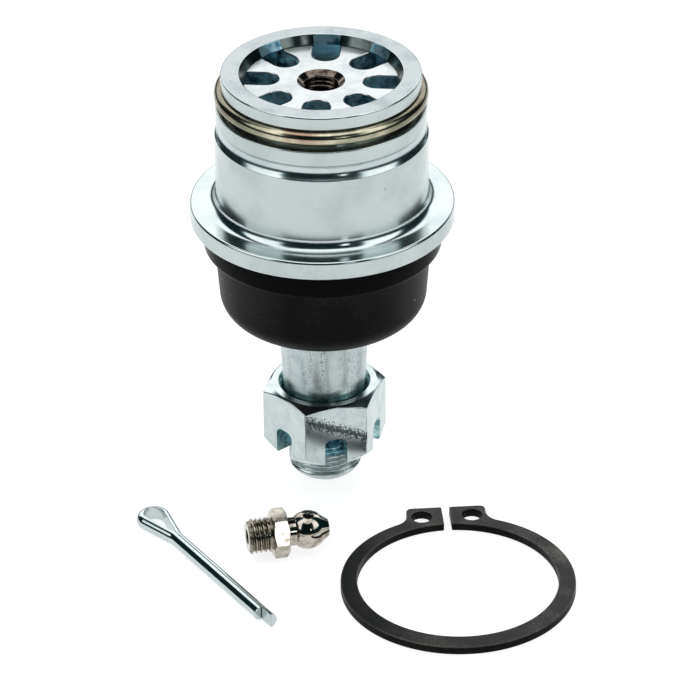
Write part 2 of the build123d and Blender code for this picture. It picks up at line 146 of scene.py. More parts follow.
class Outline:
    """A flat outline of straight runs, whose corners are eased, and of curved runs."""

    def __init__(self) -> None:
        """Starts an empty outline."""
        self._marks: list[tuple[float, float, float]] = []

    def corner(self, x: float, y: float, ease: float = 0.0) -> "Outline":
        """Adds a corner that is rounded by the radius `ease`."""
        self._marks.append((x, y, ease))
        return self

    def along(self, points: Iterable[Point]) -> "Outline":
        """Adds the points of a curved run."""
        self._marks.extend((x, y, 0.0) for x, y in points)
        return self

    def points(self, closed: bool = True) -> list[Point]:
        """Works out the outline's points.

        Args:
            closed: Whether the last point joins the first.

        Returns:
            The points, with every eased corner drawn as a small arc.
        """
        marks = self._marks
        found: list[Point] = []
        for i, (x, y, ease) in enumerate(marks):
            inside = closed or 0 < i < len(marks) - 1
            if ease > 0 and inside:
                found.extend(self._eased(marks[i - 1], marks[i], marks[(i + 1) % len(marks)]))
            else:
                found.append((x, y))
        return [p for i, p in enumerate(found)
                if hypot(p[0] - found[i - 1][0], p[1] - found[i - 1][1]) > 1e-5 or i == 0]

    @staticmethod
    def _eased(before: Sequence[float], here: Sequence[float],
               after: Sequence[float]) -> list[Point]:
        """Rounds one corner by an arc that is kept short enough for its two runs.

        Args:
            before: The mark before the corner.
            here: The corner, as x, y and radius.
            after: The mark after it.

        Returns:
            The arc's points.
        """
        at = Vector(here[:2])
        run_in, run_out = Vector(before[:2]) - at, Vector(after[:2]) - at
        u, v = run_in.normalized(), run_out.normalized()
        angle = u.angle(v)
        if angle > pi - 1e-3:
            return [tuple(at)]
        tangent = min(here[2] / tan(angle / 2), 0.48 * run_in.length, 0.48 * run_out.length)
        radius = tangent * tan(angle / 2)
        centre = at + (u + v).normalized() * (radius / sin(angle / 2))
        first, last = at + u * tangent - centre, at + v * tangent - centre
        start = atan2(first.y, first.x)
        turn = (atan2(last.y, last.x) - start + pi) % (2 * pi) - pi
        count = max(2, ceil(abs(turn) / radians(18)))
        return [(centre.x + radius * cos(start + turn * k / count),
                 centre.y + radius * sin(start + turn * k / count)) for k in range(count + 1)]


@dataclass(frozen=True)
class Thread:
    """A screw thread that is cut into a turned surface.

    The groove fades in and out over the length `fade` at both ends. The shares are the flat parts
    of one half turn at the crest and at the root.
    """

    pitch: float
    depth: float
    start: float
    end: float
    fade: float
    crest_share: float = 0.14
    root_share: float = 0.2

    def cut(self, height: float, turn: float) -> float:
        """Depth of the groove.

        Args:
            height: Distance along the axis.
            turn: Angle round the axis, in turns.

        Returns:
            Depth below the crest.
        """
        low, high = min(self.start, self.end), max(self.start, self.end)
        window = min(max(min(height - low, high - height) / self.fade, 0.0), 1.0)
        phase = (height / self.pitch - turn) % 1.0
        flank = (abs(2 * phase - 1) - self.crest_share) / (1 - self.crest_share - self.root_share)
        return self.depth * window * min(max(flank, 0.0), 1.0)

    def heights(self) -> list[float]:
        """Heights of the rows of vertices along the thread, from start to end."""
        count = ceil(abs(self.end - self.start) / self.pitch * ROWS_PER_PITCH)
        return [self.start + (self.end - self.start) * i / count for i in range(count + 1)]


# ------------------------------------------------------------------ meshes
def revolve(outline: Sequence[Point], closed: bool = True, segments: int = ROUND_SEGMENTS,
            reach: Reach | None = None) -> bmesh.types.BMesh:
    """Turns an outline of (radius, height) points about Z.

    Args:
        outline: Points of half the section.
        closed: Whether the last point joins the first.
        segments: Facets round the axis.
        reach: Radius to take away at (height, turn), such as a thread's groove.

    Returns:
        The mesh, with one vertex where the outline meets the axis.
    """
    bm = bmesh.new()
    rings = []
    for radius, height in outline:
        if radius < 1e-6:
            rings.append([bm.verts.new((0, 0, height))] * segments)
            continue
        ring = []
        for k in range(segments):
            turn = k / segments
            r = radius - (reach(height, turn) if reach else 0.0)
            ring.append(bm.verts.new((r * cos(2 * pi * turn), r * sin(2 * pi * turn), height)))
        rings.append(ring)
    pairs = list(zip(rings, rings[1:]))
    if closed:
        pairs.append((rings[-1], rings[0]))
    for low, high in pairs:
        for k in range(segments):
            loop = [low[k], low[(k + 1) % segments], high[(k + 1) % segments], high[k]]
            corners = list(dict.fromkeys(loop))
            if len(corners) > 2:
                bm.faces.new(corners)
    bmesh.ops.recalc_face_normals(bm, faces=bm.faces)
    return bm


def sweep_round(section: Sequence[Point], start: float, end: float,
                segments: int) -> bmesh.types.BMesh:
    """Turns a closed section of (radius, height) points about Z over part of a turn.

    Args:
        section: Points of the section.
        start: First angle in degrees.
        end: Last angle in degrees.
        segments: Facets along the sweep.

    Returns:
        The mesh, closed by a face at each end.
    """
    bm = bmesh.new()
    rings = []
    for k in range(segments + 1):
        a = radians(start + (end - start) * k / segments)
        rings.append([bm.verts.new((r * cos(a), r * sin(a), z)) for r, z in section])
    close_rings(bm, rings)
    return bm


def close_rings(bm: bmesh.types.BMesh, rings: Sequence[Sequence[bmesh.types.BMVert]]) -> None:
    """Joins rings of vertices into a bar with flat ends.

    Args:
        bm: The mesh that holds the vertices.
        rings: The rings in order, all of one length.
    """
    count = len(rings[0])
    for one, two in zip(rings, rings[1:]):
        for k in range(count):
            bm.faces.new([one[k], one[(k + 1) % count], two[(k + 1) % count], two[k]])
    bm.faces.new(rings[0])
    bm.faces.new(rings[-1])
    bmesh.ops.recalc_face_normals(bm, faces=bm.faces)


def inset(outline: Sequence[Point], distance: float) -> list[Point]:
    """Moves every point of a closed outline inward, square to its two runs.

    Args:
        outline: Points of the outline.
        distance: How far the runs move.

    Returns:
        The moved points.
    """
    area = sum(x * outline[i - 1][1] - y * outline[i - 1][0] for i, (x, y) in enumerate(outline))
    sign = 1.0 if area < 0 else -1.0
    moved = []
    for i, (x, y) in enumerate(outline):
        before, after = outline[i - 1], outline[(i + 1) % len(outline)]
        u = Vector((x - before[0], y - before[1])).normalized()
        v = Vector((after[0] - x, after[1] - y)).normalized()
        normal = Vector((-u.y - v.y, u.x + v.x)).normalized()
        reach = distance * sign / max(0.4, normal.dot(Vector((-u.y, u.x))))
        moved.append((x + normal.x * reach, y + normal.y * reach))
    return moved


def prism(outline: Sequence[Point], low: float, high: float, edge: float = 0.0,
          wall_index: int = 0, rim_index: int = 0) -> bmesh.types.BMesh:
    """Plate or bar with a flat outline and rounded rims.

    Args:
        outline: Points of the outline.
        low: Height of the lower face.
        high: Height of the upper face.
        edge: Radius between faces and wall.
        wall_index: Material index of the wall.
        rim_index: Material index of the rims.

    Returns:
        The mesh.
    """
    levels = [(low, 0.0), (high, 0.0)]
    if edge > 0:
        turns = [pi / 2 * i / RIM_STEPS for i in range(RIM_STEPS + 1)]
        rim = [(edge * (1 - cos(a)), edge * (1 - sin(a))) for a in turns]
        levels = ([(low + rise, back) for rise, back in rim]
                  + [(high - rise, back) for rise, back in reversed(rim)])
    bm = bmesh.new()
    rings = [[bm.verts.new((x, y, z)) for x, y in inset(outline, back)] for z, back in levels]
    bm.faces.new(rings[0][::-1])
    bm.faces.new(rings[-1])
    count = len(outline)
    for i, (one, two) in enumerate(zip(rings, rings[1:])):
        for k in range(count):
            wall = bm.faces.new([one[k], one[(k + 1) % count], two[(k + 1) % count], two[k]])
            wall.material_index = wall_index if levels[i][1] == levels[i + 1][1] else rim_index
    bmesh.ops.recalc_face_normals(bm, faces=bm.faces)
    return bm


def box_mesh(length: float, width: float, height: float, ease: float) -> bmesh.types.BMesh:
    """Block centred on the origin, as a cutter for slots.

    Args:
        length: Size along X.
        width: Size along Y.
        height: Size along Z.
        ease: Radius of the edges that run along X.

    Returns:
        The mesh.
    """
    half_y, half_z = width / 2, height / 2
    section = Outline()
    for y, z in ((-half_y, -half_z), (half_y, -half_z), (half_y, half_z), (-half_y, half_z)):
        section.corner(y, z, ease)
    bm = prism(section.points(), -length / 2, length / 2)
    bm.transform(Matrix(((0, 0, 1, 0), (1, 0, 0, 0), (0, 1, 0, 0), (0, 0, 0, 1))))
    return bm


def make_object(name: str, bm: bmesh.types.BMesh, place: Matrix | None = None,
                index: int | None = None) -> bpy.types.Object:
    """Turns a mesh into an object that is still in millimetres.

    Args:
        name: Name of the object and its mesh.
        bm: The mesh, which is freed.
        place: Placement, put into the vertices.
        index: Material index of every face, where it isn't the mesh's own.

    Returns:
        The object, at the origin.
    """
    if place is not None:
        bm.transform(place)
    if index is not None:
        for face in bm.faces:
            face.material_index = index
    mesh = bpy.data.meshes.new(name)
    bm.to_mesh(mesh)
    bm.free()
    obj = bpy.data.objects.new(name, mesh)
    bpy.context.scene.collection.objects.link(obj)
    return obj


def settle(obj: bpy.types.Object) -> None:
    """Applies an object's modifiers to its mesh.

    Args:
        obj: The object.
    """
    depsgraph = bpy.context.evaluated_depsgraph_get()
    mesh = bpy.data.meshes.new_from_object(obj.evaluated_get(depsgraph), depsgraph=depsgraph)
    old = obj.data
    obj.modifiers.clear()
    obj.data = mesh
    mesh.name = obj.name
    bpy.data.meshes.remove(old)


def cut_with(obj: bpy.types.Object, cutters: Sequence[bpy.types.Object],
             operation: str = "DIFFERENCE") -> None:
    """Carves, joins or trims an object with others, which are then deleted.

    Args:
        obj: The object that stays.
        cutters: The tools.
        operation: DIFFERENCE, UNION or INTERSECT.
    """
    for cutter in cutters:
        carve = obj.modifiers.new("carve", "BOOLEAN")
        carve.operation = operation
        carve.solver = "EXACT"
        carve.object = cutter
    settle(obj)
    for cutter in cutters:
        bpy.data.meshes.remove(cutter.data)


def break_edges(obj: bpy.types.Object, width: float, limit: float = 24.0) -> None:
    """Rounds the sharp edges of a piece.

    Args:
        obj: The piece.
        width: Width of the rounding.
        limit: Least angle of an edge that is rounded, in degrees.
    """
    bm = bmesh.new()
    bm.from_mesh(obj.data)
    bmesh.ops.remove_doubles(bm, verts=bm.verts, dist=MERGE_GAP)
    chosen = [e for e in bm.edges
              if len(e.link_faces) == 2 and degrees(e.calc_face_angle(0.0)) > limit]
    bmesh.ops.bevel(bm, geom=chosen, offset=width, segments=3, profile=0.5, affect="EDGES",
                    clamp_overlap=False)
    bm.to_mesh(obj.data)
    bm.free()


def shade(obj: bpy.types.Object, sharp: float = 32.0, weighted: bool = True) -> bpy.types.Object:
    """Shades a mesh smooth between its sharp edges.

    Args:
        obj: The object.
        sharp: Angle from which an edge stays sharp, in degrees.
        weighted: Whether large faces keep their own normals.

    Returns:
        The object.
    """
    obj.data.shade_smooth()
    obj.data.set_sharp_from_angle(angle=radians(sharp))
    if weighted:
        even = obj.modifiers.new("even", "WEIGHTED_NORMAL")
        even.keep_sharp = True
        even.weight = 100
        settle(obj)
    return obj


# ------------------------------------------------------------------ finishes
def linear(code: str) -> tuple[float, float, float, float]:
    """Linear colour of an sRGB hex value such as "#C8CDD0"."""
    parts = [int(code[i:i + 2], 16) / 255 for i in (1, 3, 5)]
    return (*[p / 12.92 if p <= 0.04045 else ((p + 0.055) / 1.055) ** 2.4 for p in parts], 1.0)


def per_metre(size_mm: float) -> float:
    """Scale of a pattern, in repeats for a metre, whose features are that many millimetres wide."""
    return 1.0 / (size_mm * MM)


def add(tree: bpy.types.NodeTree, kind: str, sockets: dict[str | int, object] | None = None,
        **settings: object) -> bpy.types.Node:
    """Adds a node with its settings and links.

    Args:
        tree: The node tree.
        kind: The node's type.
        sockets: Input by name or number, with the output that feeds it or its constant.
        settings: The node's own properties.

    Returns:
        The node.
    """
    node = tree.nodes.new(kind)
    for key, value in settings.items():
        setattr(node, key, value)
    for key, value in (sockets or {}).items():
        if isinstance(value, bpy.types.NodeSocket):
            tree.links.new(value, node.inputs[key])
        else:
            node.inputs[key].default_value = value
    return node


class Lay(Enum):
    """Direction of the marks that working left on a surface."""

    TURNED = "rings round the axis"
    DRAWN = "streaks along the axis"
    PLAIN = "no direction"


@dataclass(frozen=True)
class Finish(ABC):
    """A finish that is made once as a material and shared by the pieces that have it."""

    name: str

    def material(self) -> bpy.types.Material:
        """Makes the finish's material on first use.

        Returns:
            The material.
        """
        found = bpy.data.materials.get(self.name)
        if found is None:
            found = bpy.data.materials.new(self.name)
            found.use_nodes = True
            tree = found.node_tree
            tree.nodes.clear()
            shader = add(tree, "ShaderNodeBsdfPrincipled")
            add(tree, "ShaderNodeOutputMaterial", {"Surface": shader.outputs[0]})
            self.paint(tree, shader)
        return found

    @abstractmethod
    def paint(self, tree: bpy.types.NodeTree, shader: bpy.types.Node) -> None:
        """Adds the finish's own nodes in front of the shader.

        Args:
            tree: The node tree.
            shader: The node that the finish feeds.
        """

    def place(self, tree: bpy.types.NodeTree, lay: Lay) -> bpy.types.NodeSocket:
        """Coordinates of a pattern that follows the lay of the surface.

        Args:
            tree: The node tree.
            lay: How the surface was worked.

        Returns:
            The output that holds the coordinates.
        """
        spot = add(tree, "ShaderNodeTexCoord").outputs["Object"]
        if lay is Lay.PLAIN:
            return spot
        apart = add(tree, "ShaderNodeSeparateXYZ", {0: spot})
        flat = add(tree, "ShaderNodeCombineXYZ", {0: apart.outputs[0], 1: apart.outputs[1]})
        if lay is Lay.DRAWN:
            return flat.outputs[0]
        radius = add(tree, "ShaderNodeVectorMath", {0: flat.outputs[0]}, operation="LENGTH")
        rings = add(tree, "ShaderNodeCombineXYZ", {0: radius.outputs["Value"], 2: apart.outputs[2]})
        return rings.outputs[0]


@dataclass(frozen=True)
class PlatedSteel(Finish):
    """Steel with a thin plated and passivated skin.

    The eye gets a cool, almost mirror-like metal, clouded here and there by the passivation, with
    the faint marks of the tool underneath and a few dark pits.
    """

    colour: str = "#C2CBCB"
    cloud: str = "#B4BFC0"
    pit: str = "#39464A"
    streak: str = "#4A5456"
    lay: Lay = Lay.TURNED
    roughness: float = 0.16
    anisotropy: float = 0.7
    cloud_mm: float = 9.0
    cloud_from: float = 0.42
    cloud_to: float = 0.68
    mark_mm: float = 0.45     # real tool marks are near 0.1 mm apart, drawn coarser to show
    mark_depth_mm: float = 0.0016
    pit_mm: float = 1.6
    pit_from: float = 0.735
    pit_to: float = 0.78
    pit_share: float = 0.3
    streak_mm: float = 2.0
    streak_grain_mm: float = 0.4
    streak_from: float = 1.1
    streak_to: float = 1.24
    streak_share: float = 0.0
    metal_share: float = 1.0

    def paint(self, tree: bpy.types.NodeTree, shader: bpy.types.Node) -> None:
        """Clouds the colour, varies the gloss and cuts tool marks, streaks and pits.

        Args:
            tree: The node tree.
            shader: The node that the finish feeds.
        """
        spot = self.place(tree, Lay.PLAIN)
        run = self.place(tree, self.lay)
        clouds = add(tree, "ShaderNodeTexNoise", {
            "Vector": spot, "Scale": per_metre(self.cloud_mm), "Detail": 4.0, "Roughness": 0.6})
        ramp = add(tree, "ShaderNodeMapRange", {
            0: clouds.outputs[0], 1: self.cloud_from, 2: self.cloud_to, 3: 0.0, 4: 1.0},
            interpolation_type="SMOOTHSTEP")
        tint = add(tree, "ShaderNodeMix", {
            0: ramp.outputs[0], 6: linear(self.colour), 7: linear(self.cloud)}, data_type="RGBA")
        pits = add(tree, "ShaderNodeTexNoise", {
            "Vector": spot, "Scale": per_metre(self.pit_mm), "Detail": 2.0, "Roughness": 0.5})
        specks = add(tree, "ShaderNodeMapRange", {
            0: pits.outputs[0], 1: self.pit_from, 2: self.pit_to, 3: 0.0, 4: self.pit_share})
        pitted = add(tree, "ShaderNodeMix", {
            0: specks.outputs[0], 6: tint.outputs[2], 7: linear(self.pit)}, data_type="RGBA")
        skin = pitted.outputs[2]
        if self.streak_share > 0:
            skin = self._streaked(tree, skin, run, spot)
        skin = self.add_painted_reflection(tree, skin, spot)
        marks = add(tree, "ShaderNodeTexNoise", {
            "Vector": run, "Scale": per_metre(self.mark_mm), "Detail": 3.0, "Roughness": 0.65})
        gloss = add(tree, "ShaderNodeMapRange", {
            0: clouds.outputs[0], 1: 0.3, 2: 0.7,
            3: self.roughness * 0.85, 4: self.roughness * 1.25})
        bump = add(tree, "ShaderNodeBump", {
            "Strength": 1.0, "Distance": self.mark_depth_mm * MM, "Height": marks.outputs[0]})
        tree.links.new(skin, shader.inputs["Base Color"])
        tree.links.new(gloss.outputs[0], shader.inputs["Roughness"])
        tree.links.new(bump.outputs[0], shader.inputs["Normal"])
        shader.inputs["Metallic"].default_value = self.metal_share
        if self.lay is Lay.TURNED:
            around = add(tree, "ShaderNodeTangent", direction_type="RADIAL", axis="Z")
            tree.links.new(around.outputs[0], shader.inputs["Tangent"])
            shader.inputs["Anisotropic"].default_value = self.anisotropy
            shader.inputs["Anisotropic Rotation"].default_value = 0.25

    def add_painted_reflection(self, tree: bpy.types.NodeTree, skin: bpy.types.NodeSocket,
             spot: bpy.types.NodeSocket) -> bpy.types.NodeSocket:
        """Colour with a painted reflection, of which plain plating has none."""
        return skin

    def _streaked(self, tree: bpy.types.NodeTree, skin: bpy.types.NodeSocket,
                  run: bpy.types.NodeSocket, spot: bpy.types.NodeSocket) -> bpy.types.NodeSocket:
        """Adds dark grainy streaks that run with the lay.

        Args:
            tree: The node tree.
            skin: Colour under the streaks.
            run: Coordinates along the lay.
            spot: Coordinates without a direction.

        Returns:
            The colour with the streaks.
        """
        lines = add(tree, "ShaderNodeTexNoise", {
            "Vector": run, "Scale": per_metre(self.streak_mm), "Detail": 4.0, "Roughness": 0.7})
        grain = add(tree, "ShaderNodeTexNoise", {
            "Vector": spot, "Scale": per_metre(self.streak_grain_mm), "Detail": 1.0})
        both = add(tree, "ShaderNodeMath", {0: lines.outputs[0], 1: grain.outputs[0]},
                   operation="ADD")
        dark = add(tree, "ShaderNodeMapRange", {
            0: both.outputs[0], 1: self.streak_from, 2: self.streak_to,
            3: 0.0, 4: self.streak_share})
        mixed = add(tree, "ShaderNodeMix", {
            0: dark.outputs[0], 6: skin, 7: linear(self.streak)}, data_type="RGBA")
        return mixed.outputs[2]


@dataclass(frozen=True)
class DarkReflectionSteel(PlatedSteel):
    """Plated steel with a dark reflection painted on its front flat.

    The eye gets the bright plating with one slanting, grainy dark band on the front flat, which is a
    painted reflection. The band's middle line passes through `reflection_at`, given as x and z, and
    falls by `reflection_fall`. It starts at x `reflection_from_mm` and shows only in front of y
    `reflection_beyond_mm`.
    """

    # colour of the painted dark reflection
    reflection_colour: str = "#1E2224"
    reflection_at: tuple[float, float] = (-4.0, -70.0)
    reflection_fall: float = 0.42
    reflection_half_mm: float = 2.8
    reflection_from_mm: float = -5.0
    reflection_beyond_mm: float = -12.6
    grain_mm: float = 0.5      # grain that breaks up the painted reflection, drawn coarse to show
    lift_middle: float = 0.255
    lift_edge: float = -0.04
    dark_from: float = 0.57
    dark_to: float = 0.66
    reflection_share: float = 0.9

    def add_painted_reflection(self, tree: bpy.types.NodeTree, skin: bpy.types.NodeSocket,
             spot: bpy.types.NodeSocket) -> bpy.types.NodeSocket:
        """Rubs a band that falls to the right across the flat into dark grains.

        Args:
            tree: The node tree.
            skin: Colour under the painted reflection.
            spot: Coordinates without a direction.

        Returns:
            The colour with the scuff.
        """
        # Painted dark reflection on the front flat: a slanting grainy band.
        apart = add(tree, "ShaderNodeSeparateXYZ", {0: spot})
        line = add(tree, "ShaderNodeMath", {
            0: apart.outputs[0], 1: self.reflection_fall, 2: apart.outputs[2]},
            operation="MULTIPLY_ADD")
        level = (self.reflection_at[1] + self.reflection_fall * self.reflection_at[0]) * MM
        off = add(tree, "ShaderNodeMath", {0: line.outputs[0], 1: level}, operation="SUBTRACT")
        size = add(tree, "ShaderNodeMath", {0: off.outputs[0]}, operation="ABSOLUTE")
        band = add(tree, "ShaderNodeMapRange", {
            0: size.outputs[0], 1: 0.0, 2: self.reflection_half_mm * MM,
            3: self.lift_middle, 4: self.lift_edge})
        front = add(tree, "ShaderNodeMath", {0: apart.outputs[1], 1: self.reflection_beyond_mm * MM},
                    operation="LESS_THAN")
        right = add(tree, "ShaderNodeMath", {0: apart.outputs[0], 1: self.reflection_from_mm * MM},
                    operation="GREATER_THAN")
        there = add(tree, "ShaderNodeMath", {0: front.outputs[0], 1: right.outputs[0]},
                    operation="MULTIPLY")
        grains = add(tree, "ShaderNodeTexNoise", {
            "Vector": spot, "Scale": per_metre(self.grain_mm), "Detail": 3.0, "Roughness": 0.7})
        dense = add(tree, "ShaderNodeMath", {0: grains.outputs[0], 1: band.outputs[0]},
                    operation="ADD")
        dark = add(tree, "ShaderNodeMapRange", {
            0: dense.outputs[0], 1: self.dark_from, 2: self.dark_to, 3: 0.0, 4: self.reflection_share})
        shown = add(tree, "ShaderNodeMath", {0: dark.outputs[0], 1: there.outputs[0]},
                    operation="MULTIPLY")
        mixed = add(tree, "ShaderNodeMix", {
            0: shown.outputs[0], 6: skin, 7: linear(self.reflection_colour)}, data_type="RGBA")
        return mixed.outputs[2]


@dataclass(frozen=True)
class YellowZinc(Finish):
    """Spring steel with a yellow chromate over zinc.

    The eye gets a bright gold metal whose thin film drifts to olive and brown round the ring, with
    painted shade that darkens it towards the ring's two sides, left and right.
    """

    gold: str = "#C9C3AC"
    olive: str = "#8F907C"
    brown: str = "#9C8572"
    # colour of the painted shade on the ring's two sides
    deep: str = "#4F4B3B"
    brown_at: float = 0.36
    gold_at: float = 0.5
    olive_at: float = 0.66
    side_shade_share: float = 0.7
    unshaded_to_mm: float = 9.0
    full_shade_from_mm: float = 26.0
    roughness: float = 0.19
    drift_mm: float = 12.0
    mark_mm: float = 0.5
    mark_depth_mm: float = 0.001

    def paint(self, tree: bpy.types.NodeTree, shader: bpy.types.Node) -> None:
        """Drifts the film's colour along the ring, paints shade on its two sides and keeps it
        glossy.

        Args:
            tree: The node tree.
            shader: The node that the finish feeds.
        """
        spot = self.place(tree, Lay.PLAIN)
        drift = add(tree, "ShaderNodeTexNoise", {
            "Vector": spot, "Scale": per_metre(self.drift_mm), "Detail": 3.0, "Roughness": 0.55})
        ramp = add(tree, "ShaderNodeValToRGB", {0: drift.outputs[0]})
        stops = ramp.color_ramp
        stops.elements[0].position, stops.elements[0].color = self.brown_at, linear(self.brown)
        stops.elements[1].position, stops.elements[1].color = self.olive_at, linear(self.olive)
        stops.elements.new(self.gold_at).color = linear(self.gold)
        # Painted shade: the colour darkens towards the ring's left and right sides, along X.
        apart = add(tree, "ShaderNodeSeparateXYZ", {0: spot})
        side = add(tree, "ShaderNodeMath", {0: apart.outputs[0]}, operation="ABSOLUTE")
        side_shading = add(tree, "ShaderNodeMapRange", {
            0: side.outputs[0], 1: self.unshaded_to_mm * MM, 2: self.full_shade_from_mm * MM,
            3: 0.0, 4: self.side_shade_share}, interpolation_type="SMOOTHSTEP")
        film = add(tree, "ShaderNodeMix", {
            0: side_shading.outputs[0], 6: ramp.outputs[0], 7: linear(self.deep)}, data_type="RGBA")
        marks = add(tree, "ShaderNodeTexNoise", {
            "Vector": self.place(tree, Lay.TURNED), "Scale": per_metre(self.mark_mm),
            "Detail": 2.0})
        bump = add(tree, "ShaderNodeBump", {
            "Strength": 1.0, "Distance": self.mark_depth_mm * MM, "Height": marks.outputs[0]})
        tree.links.new(film.outputs[2], shader.inputs["Base Color"])
        tree.links.new(bump.outputs[0], shader.inputs["Normal"])
        shader.inputs["Metallic"].default_value = 1.0
        shader.inputs["Roughness"].default_value = self.roughness


@dataclass(frozen=True)
class MouldedRubber(Finish):
    """Black synthetic rubber as it leaves the mould.

    The eye gets a deep black with a soft sheen, a fine, slightly brown bloom of specks, and a few
    grains of pale dust.
    """

    colour: str = "#040505"
    bloom: str = "#29242A"
    dust: str = "#8D8C88"
    roughness: float = 0.42
    sheen: float = 0.06
    grain_mm: float = 0.7      # the bloom's real specks are near 0.2 mm, drawn coarser to show
    bloom_from: float = 0.2
    bloom_to: float = 0.42
    bloom_share: float = 0.6
    patch_mm: float = 14.0
    wave_mm: float = 0.03
    dust_apart_mm: float = 4.5
    dust_core: float = 0.03    # a grain's full and fading radius, as shares of that distance
    dust_rim: float = 0.075
    dust_from: float = 0.62    # a cell whose random value is below this holds no dust

    def paint(self, tree: bpy.types.NodeTree, shader: bpy.types.Node) -> None:
        """Adds the bloom's specks, the mould's faint waves and the sheen.

        Args:
            tree: The node tree.
            shader: The node that the finish feeds.
        """
        spot = self.place(tree, Lay.PLAIN)
        grain = add(tree, "ShaderNodeTexNoise", {
            "Vector": spot, "Scale": per_metre(self.grain_mm), "Detail": 3.0, "Roughness": 0.7})
        patches = add(tree, "ShaderNodeTexNoise", {
            "Vector": spot, "Scale": per_metre(self.patch_mm), "Detail": 2.0})
        share = add(tree, "ShaderNodeMath", {
            0: grain.outputs[0], 1: patches.outputs[0]}, operation="MULTIPLY")
        specks = add(tree, "ShaderNodeMapRange", {
            0: share.outputs[0], 1: self.bloom_from, 2: self.bloom_to,
            3: 0.0, 4: self.bloom_share})
        tint = add(tree, "ShaderNodeMix", {
            0: specks.outputs[0], 6: linear(self.colour), 7: linear(self.bloom)}, data_type="RGBA")
        cells = add(tree, "ShaderNodeTexVoronoi", {
            "Vector": spot, "Scale": per_metre(self.dust_apart_mm)})
        grains = add(tree, "ShaderNodeMapRange", {
            0: cells.outputs["Distance"], 1: self.dust_core, 2: self.dust_rim, 3: 1.0, 4: 0.0})
        pick = add(tree, "ShaderNodeMath", {0: cells.outputs["Color"], 1: self.dust_from},
                   operation="GREATER_THAN")
        dusty = add(tree, "ShaderNodeMath", {
            0: grains.outputs[0], 1: pick.outputs[0]}, operation="MULTIPLY")
        skin = add(tree, "ShaderNodeMix", {
            0: dusty.outputs[0], 6: tint.outputs[2], 7: linear(self.dust)}, data_type="RGBA")
        bump = add(tree, "ShaderNodeBump", {
            "Strength": 0.6, "Distance": self.wave_mm * MM, "Height": grain.outputs[0]})
        tree.links.new(skin.outputs[2], shader.inputs["Base Color"])
        tree.links.new(bump.outputs[0], shader.inputs["Normal"])
        shader.inputs["Roughness"].default_value = self.roughness
        shader.inputs["Specular IOR Level"].default_value = self.sheen


@dataclass(frozen=True)
class Phosphate(Finish):
    """Spring steel blackened in a phosphate bath and oiled.

    The eye gets a dark, slightly warm grey with a satin sheen and a fine crystalline sparkle, with
    few crystals towards -X and more towards +X.
    """

    colour: str = "#131515"
    crystal: str = "#625F59"
    roughness: float = 0.42
    metal_share: float = 0.5
    sheen: float = 0.25
    crystal_mm: float = 0.45   # real crystals are near 0.02 mm, drawn coarser to show
    crystal_h_mm: float = 0.015
    crystal_from: float = 0.22
    crystal_to: float = 0.4
    patch_mm: float = 12.0
    sparse_share: float = 0.15
    sparse_to_mm: float = 4.0
    dense_from_mm: float = 60.0

    def paint(self, tree: bpy.types.NodeTree, shader: bpy.types.Node) -> None:
        """Scatters crystals in patches over the dark skin, fewer towards -X than towards +X.

        Args:
            tree: The node tree.
            shader: The node that the finish feeds.
        """
        spot = self.place(tree, Lay.PLAIN)
        apart = add(tree, "ShaderNodeSeparateXYZ", {0: spot})
        crystal_density = add(tree, "ShaderNodeMapRange", {
            0: apart.outputs[0], 1: self.sparse_to_mm * MM, 2: self.dense_from_mm * MM,
            3: self.sparse_share, 4: 1.0})
        crystals = add(tree, "ShaderNodeTexNoise", {
            "Vector": spot, "Scale": per_metre(self.crystal_mm), "Detail": 4.0, "Roughness": 0.75})
        patches = add(tree, "ShaderNodeTexNoise", {
            "Vector": spot, "Scale": per_metre(self.patch_mm), "Detail": 3.0})
        share = add(tree, "ShaderNodeMath", {
            0: crystals.outputs[0], 1: patches.outputs[0]}, operation="MULTIPLY")
        specks = add(tree, "ShaderNodeMapRange", {
            0: share.outputs[0], 1: self.crystal_from, 2: self.crystal_to})
        shown = add(tree, "ShaderNodeMath", {
            0: specks.outputs[0], 1: crystal_density.outputs[0]}, operation="MULTIPLY")
        tint = add(tree, "ShaderNodeMix", {
            0: shown.outputs[0], 6: linear(self.colour), 7: linear(self.crystal)}, data_type="RGBA")
        bump = add(tree, "ShaderNodeBump", {
            "Strength": 0.5, "Distance": self.crystal_h_mm * MM, "Height": crystals.outputs[0]})
        tree.links.new(tint.outputs[2], shader.inputs["Base Color"])
        tree.links.new(bump.outputs[0], shader.inputs["Normal"])
        shader.inputs["Metallic"].default_value = self.metal_share
        shader.inputs["Specular IOR Level"].default_value = self.sheen
        shader.inputs["Roughness"].default_value = self.roughness


@dataclass(frozen=True)
class SinteredIron(Finish):
    """Iron pressed from powder and sintered, dark with grease.

    The eye gets a matt grey full of small open pores.
    """

    colour: str = "#5C5A57"
    pore: str = "#1D1B19"
    pore_mm: float = 0.5
    pore_core: float = 0.1
    pore_rim: float = 0.45
    pore_depth_mm: float = 0.05
    metal_share: float = 0.7
    roughness: float = 0.55

    def paint(self, tree: bpy.types.NodeTree, shader: bpy.types.Node) -> None:
        """Opens the pores in the colour and in the surface.

        Args:
            tree: The node tree.
            shader: The node that the finish feeds.
        """
        cells = add(tree, "ShaderNodeTexVoronoi", {
            "Vector": self.place(tree, Lay.PLAIN), "Scale": per_metre(self.pore_mm)})
        pores = add(tree, "ShaderNodeMapRange", {
            0: cells.outputs[0], 1: self.pore_core, 2: self.pore_rim})
        tint = add(tree, "ShaderNodeMix", {
            0: pores.outputs[0], 6: linear(self.pore), 7: linear(self.colour)}, data_type="RGBA")
        bump = add(tree, "ShaderNodeBump", {
            "Strength": 0.5, "Distance": self.pore_depth_mm * MM, "Height": pores.outputs[0]})
        tree.links.new(tint.outputs[2], shader.inputs["Base Color"])
        tree.links.new(bump.outputs[0], shader.inputs["Normal"])
        shader.inputs["Metallic"].default_value = self.metal_share
        shader.inputs["Roughness"].default_value = self.roughness


